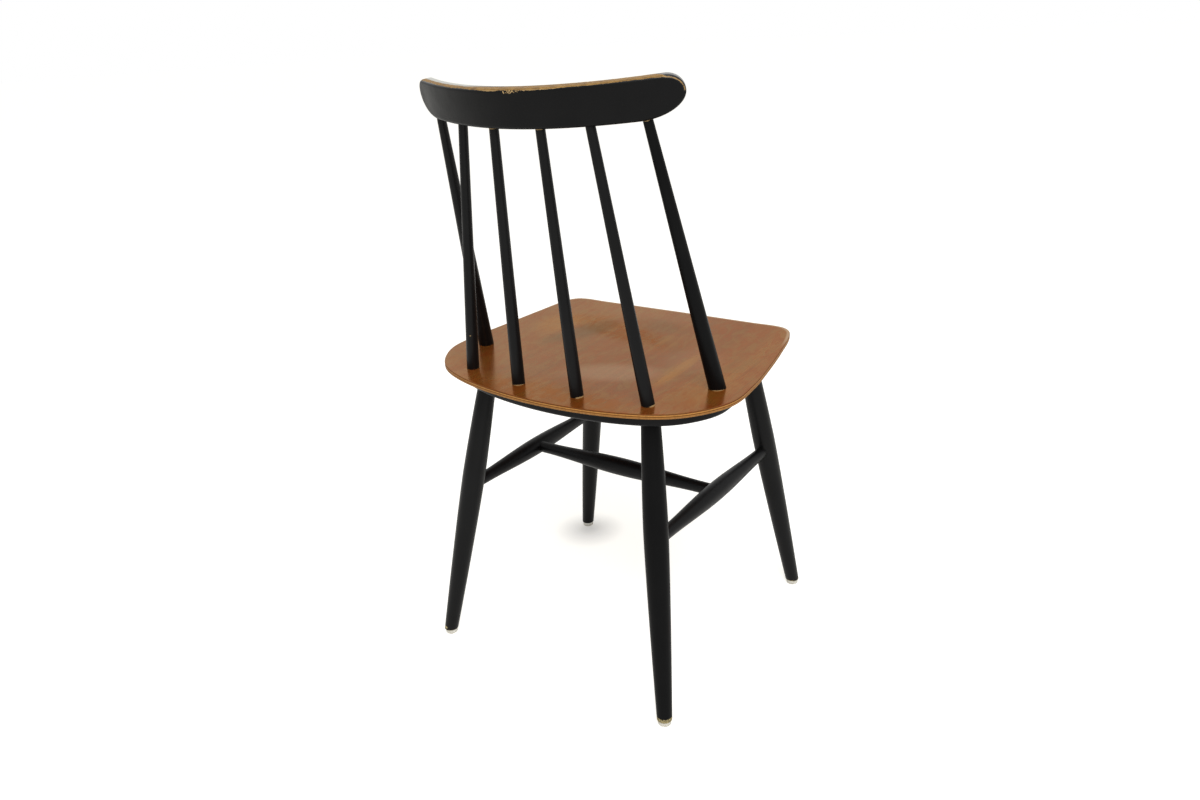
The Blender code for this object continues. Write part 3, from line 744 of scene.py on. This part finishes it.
def screw_sunk(node, x, y, thickness, steel):
    """A slotted countersunk screw, and the recess for its head in the strip."""
    head = SCREW_HEAD_DIAMETER / 2
    shank = SCREW_SHANK_DIAMETER / 2
    base = Vector((x, y, under_strip(x, y, thickness)))
    profile = [(head - SCREW_HEAD_BREAK, 0.0), (head, SCREW_HEAD_BREAK), (head, SCREW_HEAD_BAND),
               (shank, head - shank + SCREW_HEAD_BAND), (shank, SCREW_SHOWN_LENGTH)]
    start = base + UP * SCREW_RECESS
    screw = turned(node, "_slotted", start, UP, profile, steel, sides=32)
    bm = bmesh.new()
    size = Matrix.Diagonal((3 * head, SCREW_SLOT_WIDTH, 2 * SCREW_SLOT_DEPTH, 1.0))
    bmesh.ops.create_cube(bm, size=1.0, matrix=size)
    turn = Matrix.Rotation(x * SCREW_TURN[0] + y * SCREW_TURN[1], 4, "Z")
    cut_away(screw, [make_cutter(bm, Matrix.Translation(start) @ turn)])
    mouth = head + SCREW_MOUTH_GAP
    recess = turn_profile([(0.0, -SCREW_MOUTH_BELOW), (mouth, -SCREW_MOUTH_BELOW),
                           (mouth, SCREW_MOUTH_STRAIGHT), (0.0, SCREW_MOUTH_DEPTH)], 32)
    return screw, make_cutter(recess, Matrix.Translation(base))


def drive_screws(strip, word, spots, thickness, steel):
    """Screws up through a strip into the seat, their heads in recesses."""
    sunk = [screw_sunk("%s_screw_%d" % (word, number), x, y, thickness, steel)
            for number, (x, y) in enumerate(spots, 1)]
    cut_away(strip, [recess for screw, recess in sunk])
    set_field(strip, "bare", lambda spot: PAINTED)
    return [screw for screw, recess in sunk]


def make_underframe(paint, steel):
    outline = seat_outline(12, PLATE_SIDE_INSET, PLATE_REAR_INSET)
    pairs = [plate_span(outline, pi * step / PLATE_STEPS) for step in range(PLATE_STEPS + 1)]
    plate = make_strip("seat_plate_painted", pairs, PLATE_THICKNESS, PLATE_EDGE_ROUND, paint,
                       ["rear_seat_plate"])
    leg = leg_top(True, 1)
    pairs = []
    for step in range(BATTEN_STEPS + 1):
        x = (step / (BATTEN_STEPS / 2) - 1) * (leg.x + BATTEN_OVERHANG)
        pairs.append(((x, leg.y - BATTEN_WIDTH / 2), (x, leg.y + BATTEN_WIDTH / 2)))
    batten = make_strip("batten_painted", pairs, BATTEN_THICKNESS, BATTEN_EDGE_ROUND, paint,
                        ["front_batten"])
    spans = [plate_span(outline, radians(bearing)) for bearing in PLATE_SCREW_BEARINGS]
    spots = [(outer + inner) / 2 for outer, inner in spans]
    pieces = [plate, batten, *drive_screws(plate, "plate", spots, PLATE_THICKNESS, steel)]
    spots = [(step * BATTEN_SCREW_SPACING, leg.y) for step in (-1, 0, 1)]
    return pieces + drive_screws(batten, "batten", spots, BATTEN_THICKNESS, steel)


# Legs, glides and stretchers. Foot wear is the height in millimetres that the paint is rubbed
# off to, and chips: height in metres, bearing in plan, half length and half height in millimetres.

FOOT_WEAR = {
    "rear_left": (8.2, ((0.0116, 70, 4.4, 1.9),)),
    "rear_right": (12.6, ()),
    "front_left": (0.0, ()),
    "front_right": (8.6, ()),
}

# How worn a foot gets at most, which keeps its bare wood half under the paint and so darker,
# partly as painted shade, and how grey the bare wood of a leg is, below zero
FOOT_WEAR_AND_SHADE_LIMIT = 0.03
LEG_GREY = -0.8
# Frays of a worn edge: repeats per metre, and millimetres on a ring and on a chip
FOOT_FRAY = (260.0, 0.7, 0.3)
SPINDLE_FRAY = (300.0, 0.5, 0.1)

# Rings of vertices, which crowd towards the foot of a leg
LEG_RINGS = 240
LEG_RING_CROWDING = 0.75
STRETCHER_HALF_RINGS = 40
SPINDLE_RINGS = 220
GLIDE_DARK_HEIGHT = 0.0035


def leg_top(front, side):
    """Where in plan a leg's axis meets the underframe."""
    if front:
        return Vector((side * (SEAT_SIDE - FRONT_LEG_SIDE_INSET), SEAT_FRONT + FRONT_LEG_END_INSET, 0.0))
    return Vector((side * (SEAT_SIDE - REAR_LEG_SIDE_INSET), SEAT_REAR - REAR_LEG_END_INSET, 0.0))


def leg_line(front, side):
    """Point on the floor and unit direction of a leg's axis, and its length to the underframe."""
    top = leg_top(front, side)
    if front:
        foot_y = FEET_BACK - FEET_DEPTH / 2 + side * FRONT_FEET_STAGGER / 2
        foot = Vector((side * FRONT_FEET_WIDTH / 2, foot_y, 0.0))
    else:
        foot = Vector((side * REAR_FEET_WIDTH / 2, FEET_BACK + FEET_DEPTH / 2, 0.0))
    top.z = under_strip(top.x, top.y, BATTEN_THICKNESS if front else PLATE_THICKNESS)
    return foot, (top - foot).normalized(), (top - foot).length


def leg_point(front, side, height):
    """Point of a leg's axis at a height above the floor."""
    foot, direction, _ = leg_line(front, side)
    return foot + direction * (height / direction.z)


def leg_radius(distance, length):
    """Radius of a leg at a distance from the floor along its axis."""
    if distance < LEG_BELLY_DISTANCE:
        share = (1 - distance / LEG_BELLY_DISTANCE) ** LEG_LOWER_CURVE
        loss = LEG_BELLY_DIAMETER - LEG_FOOT_DIAMETER
    else:
        share = ((distance - LEG_BELLY_DISTANCE) / (length - LEG_BELLY_DISTANCE)) ** LEG_UPPER_CURVE
        loss = LEG_BELLY_DIAMETER - LEG_TOP_DIAMETER
    return (LEG_BELLY_DIAMETER - loss * share) / 2


def level_foot(leg):
    """Saw a leg off level above its glide and break the sharp edge."""
    bm = bmesh.new()
    bm.from_mesh(leg.data)
    bmesh.ops.bisect_plane(bm, geom=bm.verts[:] + bm.edges[:] + bm.faces[:],
                           plane_co=(0.0, 0.0, GLIDE_HEIGHT + REST_GAP), plane_no=UP, clear_inner=True)
    rim = [edge for edge in bm.edges if edge.is_boundary]
    filled = bmesh.ops.contextual_create(bm, geom=rim)["faces"]
    bmesh.ops.bevel(bm, geom=filled[0].edges[:], offset=LEG_FOOT_CHAMFER,
                    segments=3, affect="EDGES", clamp_overlap=True)
    bmesh.ops.recalc_face_normals(bm, faces=bm.faces)
    bm.to_mesh(leg.data)
    bm.free()
    shade(leg.data)


def chipped(value, spot, axis, base, chips, fray):
    """How far a place on an upright rod lies inside its worn ring or one of its chips."""
    away = spot - axis
    for height, bearing, long, tall in chips:
        turn = degrees(atan2(away.y, away.x)) - bearing
        turn = (turn + 180.0) % 360.0 - 180.0
        along = radians(turn) * hypot(away.x, away.y) / MM
        above = (spot.z - (base + height)) / MM
        inside = (1 - hypot(along / long, above / tall)) * min(long, tall)
        value = max(value, inside + fray)
    return max(PAINTED_ROD, value)


def make_leg(place, front, side, paint):
    foot, direction, length = leg_line(front, side)
    start = -LEG_FOOT_DIAMETER / 2
    stations = []
    for ring in range(LEG_RINGS + 1):
        share = ring / LEG_RINGS
        share *= 1 - LEG_RING_CROWDING + LEG_RING_CROWDING * share
        distance = start + (length - start) * share
        stations.append((leg_radius(distance, length), distance))
    stations.append((stations[-1][0], length + LEG_TOP_INLET))
    leg = turned("leg_" + place, "_turned", foot, direction, stations, paint)
    level_foot(leg)
    ring, chips = FOOT_WEAR[place]
    repeats, ring_fray, chip_fray = FOOT_FRAY

    def worn(spot):
        rough = noise.noise(spot * repeats)
        value = min(FOOT_WEAR_AND_SHADE_LIMIT, ring + ring_fray * rough - spot.z / MM)
        axis = leg_point(front, side, spot.z)
        return chipped(value, spot, axis, 0.0, chips, chip_fray * rough)
    set_field(leg, "bare", worn)
    set_field(leg, "polish_and_reflection", lambda spot: LEG_GREY)
    return leg


def make_glide(place, front, side, material):
    radius = GLIDE_DIAMETER / 2
    lower = [(radius - inset, depth) for inset, depth in rounded_arris(GLIDE_ROUND, 8)]
    upper = [(radius - depth, GLIDE_HEIGHT - inset) for inset, depth in rounded_arris(GLIDE_ROUND / 2, 8)]
    spot = leg_point(front, side, GLIDE_HEIGHT)
    start = Vector((spot.x, spot.y, 0.0))
    glide = turned("glide_" + place, "_moulded", start, UP, lower + upper, material)
    # The glide is darker towards its bottom
    set_field(glide, "lower_darkening", lambda here: 1.0 - soft_step(here.z, 0.0, GLIDE_DARK_HEIGHT))
    return glide


def make_stretcher(node, start, end, buried, straight, material):
    """A rod swelling to its middle, its ends let into its neighbours."""
    half = (end - start).length / 2
    reach = half - buried
    swell = half - straight
    stations = []
    for ring in range(2 * STRETCHER_HALF_RINGS + 1):
        distance = reach * (ring / STRETCHER_HALF_RINGS - 1)
        share = min(abs(distance) / swell, 1.0)
        growth = cos(share * pi / 2) ** 2
        diameter = STRETCHER_END_DIAMETER + (STRETCHER_BELLY_DIAMETER - STRETCHER_END_DIAMETER) * growth
        stations.append((diameter / 2, distance))
    rod = turned(node, "_turned", (start + end) / 2, (end - start).normalized(), stations,
                 material, sides=40)
    set_field(rod, "bare", lambda spot: PAINTED)
    return rod


def make_stretchers(paint):
    pieces = []
    ends = []
    for word, side in SIDES:
        rear = leg_point(False, side, STRETCHER_HEIGHT)
        front = leg_point(True, side, STRETCHER_HEIGHT)
        ends.append((rear + front) / 2)
        buried = LEG_BELLY_DIAMETER / 2 - SIDE_TENON_LENGTH
        pieces.append(make_stretcher("side_stretcher_" + word, rear, front, buried,
                                     SIDE_STRAIGHT_END, paint))
    buried = STRETCHER_BELLY_DIAMETER / 2 - CROSS_TENON_LENGTH
    cross = make_stretcher("cross_stretcher", *ends, buried, CROSS_STRAIGHT_END, paint)
    return pieces + [cross]


# Top rail. Places on it are (across, over) in millimetres: across from its middle, and over
# from the foot of the rear arris, over the top and down to the front face. The paint is worn
# through between the next two lines.

WORN_FROM = (
    (-199, 3), (-192, 2.5), (-184, 2.1), (-178, 2.8), (-170, 3.5), (-158, 3.5), (-150, 3.7),
    (-135, 3.5), (-120, 3.6), (-105, 3.4), (-90, 3.7), (-75, 3.3), (-60, 2.9), (-45, 2.8),
    (-36, 2.3), (-22, 3), (-12, 3.7), (0, 3.2), (8, 3.4), (16, 2.4), (28, 2.4), (45, 3.4),
    (60, 3.7), (75, 4.1), (95, 3.7), (125, 4.4), (155, 4.6), (172, 4.4), (180, 3.9), (188, 4.6),
    (192, 6.5), (196, 13),
)
WORN_TO = (
    (-199, 4.3), (-192, 3.5), (-184, 3), (-181, 4.6), (-176.5, 13), (-170, 17),
    (-150, 17.6), (-120, 17.8), (-97, 17.4), (-75, 16.2), (-60, 16.6), (-30, 16), (-15, 14.8),
    (0, 15.4), (15, 14.4), (30, 14), (45, 13.6), (60, 12), (72, 9.6), (85, 11.6), (95, 10.6),
    (125, 10.4), (155, 10.6), (172, 10.2), (184, 10.6), (190, 13.5), (196, 22),
)
# Chips below the band: across, over, half length, half height, lean
CHIPS = (
    (0.3, 1.1, 1.5, 1.5, 0.8), (-3.6, 0.6, 0.9, 0.5, 0.3), (-5.2, 2.2, 1.5, 0.6, 0.9),
    (-7.3, 0.4, 1.9, 0.7, 0.2), (-8.6, 2.7, 1.2, 0.9, -0.6), (-10.4, 0.9, 1.3, 0.8, -0.8),
    (-12.2, 2.2, 0.9, 0.8, 0.5), (-14.3, 1.2, 1.7, 0.45, 0.5), (-17.0, 1.9, 1.2, 0.5, -0.4),
    (-19.6, 1.4, 1.0, 0.4, 0.6), (-21.4, 2.7, 0.9, 0.5, 0.0), (-28.4, 2.4, 1.0, 0.35, 0.2),
)
# Frays of these edges: depth in millimetres, repeats across and over, and layer of the noise
RAIL_FRAYS = ((0.45, 0.9, 0.9, 3.1), (0.5, 0.23, 0.4, 7.7))
# What the band's far edge and the chips take of them
END_FRAY = 1.6
CHIP_FRAY = 0.6
# Gloss, which also paints a pale reflection into the paint: span of the right end, rise over the
# edge and what that end adds, share on the right and where it gets full, and the end's own faint
# gloss with its rise
GLOSS_END = (179.0, 183.0)
GLOSS_RISE = ((2.0, 3.5), (6.0, 3.0))
RIGHT_GLOSS = 0.6
FULL_GLOSS = (20.0, 80.0)
FAINT_GLOSS = 0.2
FAINT_RISE = (1.4, 2.0)
PAINT_THICKNESS = 0.00016

# Columns of vertices across the rail, more of them at the chips, and how near two may be
RAIL_COLUMNS = 260
CHIP_COLUMNS = [-0.0320 + 0.0004 * step for step in range(91)]
CLOSEST_COLUMNS = 0.00012
# Shares of the way down a face, close together near the worn edge
FACE_ROWS = (0.0, 0.02, 0.04, 0.065, 0.09, 0.12, 0.16, 0.22, 0.32, 0.5, 0.7, 0.88, 0.97, 1.0)


def rail_point(across, rise, depth):
    """Point of the rail: across its rear face, up that face, and forward into the wood."""
    slope = across / RAIL_BEND_RADIUS
    normal = Vector((slope, 1.0)).normalized()
    sideways = across - normal.x * depth
    rearward = -across * slope / 2 - normal.y * depth
    back = Vector((0.0, cos(RAIL_LEAN), -sin(RAIL_LEAN)))
    upward = Vector((0.0, sin(RAIL_LEAN), cos(RAIL_LEAN)))
    middle = Vector((sideways, SEAT_REAR - RAIL_REAR_INSET, SEAT_HEIGHT + RAIL_RISE))
    return middle + back * rearward + upward * rise


def corner_share(across, corner):
    """Share of its height that an elliptic corner keeps across the rail."""
    past = (abs(across) - (RAIL_WIDTH / 2 - corner)) / corner
    return sqrt(max(0.0, 1 - max(0.0, past) ** 2))


def rail_columns():
    """Places across the rail, close together at its ends and at the chips."""
    places = [-RAIL_WIDTH / 2 * cos(pi * step / RAIL_COLUMNS) for step in range(RAIL_COLUMNS + 1)]
    places = sorted(places + CHIP_COLUMNS)
    kept = [places[0]]
    for place in places[1:-1]:
        if place - kept[-1] > CLOSEST_COLUMNS:
            kept.append(place)
    return kept + [places[-1]]


def rail_outline(places):
    """Closed outline of the rear face: along its upper edge, back along its lower one."""
    above = RAIL_HEIGHT - RAIL_NOSE_HEIGHT
    upper = [(x, RAIL_NOSE_HEIGHT + above * corner_share(x, RAIL_UPPER_CORNER)) for x in places]
    lower = [(x, RAIL_NOSE_HEIGHT * (1 - corner_share(x, RAIL_LOWER_CORNER))) for x in places]
    return upper + lower[-2:0:-1]


def rail_wear(across, over):
    """How far a place lies inside a worn patch of the rail, in millimetres."""
    fray = 0.0
    for depth, crosswise, upward, layer in RAIL_FRAYS:
        fray += depth * noise.noise((across * crosswise, over * upward, layer))
    start = along_table(WORN_FROM, across)
    end = along_table(WORN_TO, across)
    worn = min(over - start + fray, end - over + END_FRAY * fray)
    for place, height, long, tall, lean in CHIPS:
        aside = across - place
        above = over - height - lean * aside
        size = 1 - hypot(aside / long, above / tall)
        worn = max(worn, size * min(long, tall) + CHIP_FRAY * fray)
    return max(worn, PAINTED_RAIL)


def rail_polish_and_reflection(across, over):
    """Gloss that hands have left on the rail's top, with a pale painted reflection, full towards the
    left.

    At the right end it begins lower down, where it is faint, and comes up higher.
    """
    end = soft_step(-across, *GLOSS_END)
    low, high = (rise + lift * end for rise, lift in GLOSS_RISE)
    share = RIGHT_GLOSS + (1 - RIGHT_GLOSS) * soft_step(across, *FULL_GLOSS)
    return max(soft_step(over, low, high) * share, FAINT_GLOSS * end * soft_step(over, *FAINT_RISE))


def make_rail(material):
    """The bent plank, its paint worn through along the upper rear edge."""
    bm = bmesh.new()
    places = rail_columns()
    outline = rail_outline(places)
    turn_count = len(places)
    rim = rounded_edge(RAIL_THICKNESS, RAIL_EDGE_ROUND, 12, 14)
    bare = bm.verts.layers.float.new("bare")
    polish_and_reflection = bm.verts.layers.float.new("polish_and_reflection")
    over = [0.0]
    for (inset, depth), (next_inset, next_depth) in zip(rim, rim[1:]):
        over.append(over[-1] + hypot(next_inset - inset, next_depth - depth) / MM)

    def spot(across, rise, depth, height, upper=True):
        vert = bm.verts.new(rail_point(across, rise, depth))
        vert[bare] = rail_wear(across / MM, height) if upper else PAINTED_RAIL
        vert[polish_and_reflection] = rail_polish_and_reflection(across / MM, height) if upper else 0.0
        return vert

    edges = [inset_outline(outline, inset) for inset, depth in rim]
    loops = []
    for edge, (inset, depth), height in zip(edges, rim, over):
        loops.append([spot(across, rise, depth, height, i < turn_count)
                      for i, (across, rise) in enumerate(edge)])
    join_loops(bm, loops)
    count = len(outline)
    for end, sign in ((0, -1), (-1, 1)):
        loop, edge = loops[end], edges[end]
        columns = []
        for i in range(1, turn_count - 1):
            top = edge[i]
            bottom = edge[count - i]
            fall = top[1] - bottom[1]
            column = [loop[i]]
            for row in FACE_ROWS[1:-1]:
                across = top[0] + (bottom[0] - top[0]) * row
                column.append(spot(across, top[1] - fall * row, rim[end][1],
                                   over[end] + sign * fall * row / MM))
            column.append(loop[count - i])
            columns.append(column)
        for left, right in zip(columns, columns[1:]):
            for corners in zip(left, right, right[1:], left[1:]):
                bm.faces.new(corners)
        for tip, column in ((loop[0], columns[0]), (loop[turn_count - 1], columns[-1])):
            for high, low in zip(column, column[1:]):
                bm.faces.new((tip, high, low))
    bmesh.ops.recalc_face_normals(bm, faces=bm.faces)
    bm.normal_update()
    for vert in bm.verts:
        vert.co -= vert.normal * PAINT_THICKNESS * soft_step(vert[bare], -0.15, 0.25)
    return add_piece("crest_rail_worn", bm, material, ["crest_rail"])


# Spindles. Their wear is the height in millimetres of the bare ring below the rail, and chips:
# height above the seat in metres, bearing in plan, half length and half height in millimetres.

SPINDLE_WEAR = {
    ("outer", "left"): (-0.8, ()),
    ("middle", "left"): (-0.8, ((0.052, 118, 1.1, 0.8),)),
    ("inner", "left"): (1.4, ((0.0003, 128, 7.5, 0.9),)),
    ("inner", "right"): (1.2, ((0.0005, 160, 8.0, 1.3),)),
    ("middle", "right"): (-0.6, ((0.0005, 178, 6.5, 1.5),)),
    ("outer", "right"): (-0.1, ((0.0002, 128, 9.0, 0.8),)),
}


def spindle_line(foot_x, rear_inset, top_x, side):
    """Where a spindle's axis meets the seat, and where it meets the rail's lower edge."""
    foot_y = SEAT_REAR - rear_inset
    foot = Vector((side * foot_x, foot_y, seat_top(foot_x, foot_y)))
    across = side * top_x * (1 + RAIL_THICKNESS / 2 / RAIL_BEND_RADIUS)
    return foot, rail_point(across, 0.0, RAIL_THICKNESS / 2)


def make_spindle(place, word, foot, head, diameter, material):
    """A tapered rod from the seat into the rail, chipped where it enters them."""
    length = (head - foot).length
    direction = (head - foot).normalized()
    taper = (SPINDLE_TOP_DIAMETER - diameter) / 2 / length
    stations = []
    for ring in range(SPINDLE_RINGS + 1):
        share = (1 - cos(pi * ring / SPINDLE_RINGS)) / 2
        distance = (length + SPINDLE_FOOT_INLET + SPINDLE_HEAD_INLET) * share - SPINDLE_FOOT_INLET
        stations.append((diameter / 2 + taper * distance, distance))
    node = "spindle_%s_%s" % (place, word)
    rod = turned(node, "_turned", foot, direction, stations, material)
    ring, chips = SPINDLE_WEAR[place, word]
    repeats, ring_fray, chip_fray = SPINDLE_FRAY

    def worn(spot):
        rough = noise.noise(spot * repeats)
        along = (spot - foot).dot(direction)
        value = (along - length) / MM + ring + ring_fray * rough
        return chipped(value, spot, foot + direction * along, foot.z, chips, chip_fray * rough)
    set_field(rod, "bare", worn)
    return rod


# Stage

FLOOR_SIZE = 40.0
# The floor glows white. Round this place, where the shadow gathers, it glows less.
SHADE_CENTRE = (0.189, -0.167, 0.0)
SHADE_RADII = (0.005, 0.066)
FLOOR_GLOW = (0.21, 0.61)
# What the surroundings give as light, against the full white that is seen
AMBIENT_LIGHT = 0.65
# Lamps: place, the point they face, size, and power in watts
LAMPS = (
    ("key_lamp", (-1.70, 1.76, 3.05), (0.0, 0.0, 0.35), 1.6, 85.0),
    ("top_lamp", (-0.5, 0.6, 3.2), (0.0, 0.0, 0.4), 2.2, 14.0),
)
# Camera: place, turn, pitch and roll in radians, and lens in millimetres
CAMERA_PLACE = (-0.7131, 1.0116, 0.8629)
CAMERA_TURNS = (2.5103, 0.3870, -0.0551)
CAMERA_LENS = 27.364


def seen_directly(tree):
    """One for camera, glossy and transmission rays, and zero for the others."""
    path = tree.nodes.new("ShaderNodeLightPath")
    total = path.outputs["Is Camera Ray"]
    for name in ("Is Glossy Ray", "Is Transmission Ray"):
        total = tree.math("MAXIMUM", total, path.outputs[name])
    return total


def white_ground():
    """A white floor that stays white to the camera and to reflections, and keeps shadows."""
    tree = start_material("white_ground")
    tree.nodes.clear()
    lit = tree.add("BsdfDiffuse", {"Color": (0.85, 0.85, 0.85)})
    shaded = tree.add("BsdfDiffuse", {"Color": (0.70, 0.70, 0.70)})
    away = tree.add("VectorMath", {0: tree.place(), 1: SHADE_CENTRE}, output="Value",
                    operation="DISTANCE")
    strength = tree.spread(away, *SHADE_RADII, *FLOOR_GLOW)
    glow = tree.add("Emission", {"Color": (1.0, 0.97, 0.89), "Strength": strength})
    white = tree.add("AddShader", {0: shaded, 1: glow})
    mixed = tree.add("MixShader", {0: seen_directly(tree), 1: lit, 2: white})
    output = tree.nodes.new("ShaderNodeOutputMaterial")
    tree.feed(output.inputs["Surface"], mixed)
    return tree.owner


def add_floor():
    bm = bmesh.new()
    bmesh.ops.create_grid(bm, x_segments=1, y_segments=1, size=FLOOR_SIZE)
    floor = add_mesh("studio_floor", bm)
    floor.data.materials.append(white_ground())


def add_world():
    """Soft white surroundings: full white where seen or mirrored, dimmer as a light."""
    world = bpy.data.worlds.new("white_studio")
    bpy.context.scene.world = world
    tree = Tree(world)
    background = tree.nodes["Background"]
    tree.feed(background.inputs["Color"], (1.0, 1.0, 1.0))
    extra = tree.times(seen_directly(tree), 1 - AMBIENT_LIGHT)
    tree.feed(background.inputs["Strength"], tree.math("ADD", extra, AMBIENT_LIGHT))


def add_lamp(name, place, aim, size, power):
    light = bpy.data.lights.new(name, "AREA")
    light.size = size
    light.energy = power
    lamp = add_object(name, light)
    lamp.location = place
    lamp.rotation_euler = (Vector(aim) - Vector(place)).to_track_quat("-Z", "Y").to_euler()


def add_camera():
    """The camera stands behind the chair on its right side and looks down on it."""
    turn, pitch, roll = CAMERA_TURNS
    forward = Vector((sin(turn) * cos(pitch), cos(turn) * cos(pitch), -sin(pitch)))
    level = Vector((cos(turn), -sin(turn), 0.0))
    above = level.cross(forward)
    right = level * cos(roll) + above * sin(roll)
    up = above * cos(roll) - level * sin(roll)
    data = bpy.data.cameras.new("camera")
    data.lens = CAMERA_LENS
    camera = add_object("camera", data)
    basis = Matrix((right, up, -forward)).transposed().to_4x4()
    camera.matrix_world = Matrix.Translation(CAMERA_PLACE) @ basis
    bpy.context.scene.camera = camera


def main():
    paint = painted_wood("black_paint_worn", False, 0.085, 0.0040)
    # Painted light: the strips under the seat take a lighter copy of the same black paint, standing in
    # for the light on them
    lit_strip_paint = painted_wood("black_paint_strip_lit", False, 0.060, 0.0110)
    turned_paint = painted_wood("black_paint_turned", True, 0.108, 0.0040)
    # Painted shade: the nearest leg and the outer right spindle take a copy of the turned paint that
    # mirrors less, so they look darker
    shaded_turned_paint = painted_wood("black_paint_turned_shaded", True, 0.048, 0.0040)
    nylon = scuffed_nylon()
    steel = dull_steel()
    pieces = [make_seat(teak_ply()), make_rail(paint)]
    pieces += make_underframe(lit_strip_paint, steel)
    for end, front in (("rear", False), ("front", True)):
        for word, side in SIDES:
            place = end + "_" + word
            coat = shaded_turned_paint if place == "rear_right" else turned_paint
            pieces.append(make_leg(place, front, side, coat))
            pieces.append(make_glide(place, front, side, nylon))
            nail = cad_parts["glide_nail_" + place]
            nail.data.materials.clear()
            nail.data.materials.append(steel)
    pieces += make_stretchers(turned_paint)
    for place, foot_x, rear_inset, top_x, diameter in SPINDLES:
        for word, side in SIDES:
            foot, head = spindle_line(foot_x, rear_inset, top_x, side)
            coat = shaded_turned_paint if (place, word) == ("outer", "right") else turned_paint
            pieces.append(make_spindle(place, word, foot, head, diameter, coat))
    for piece in pieces:
        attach(piece, "root")

    add_floor()
    add_world()
    for lamp in LAMPS:
        add_lamp(*lamp)
    add_camera()
    bpy.context.scene.view_settings.view_transform = "Standard"


main()
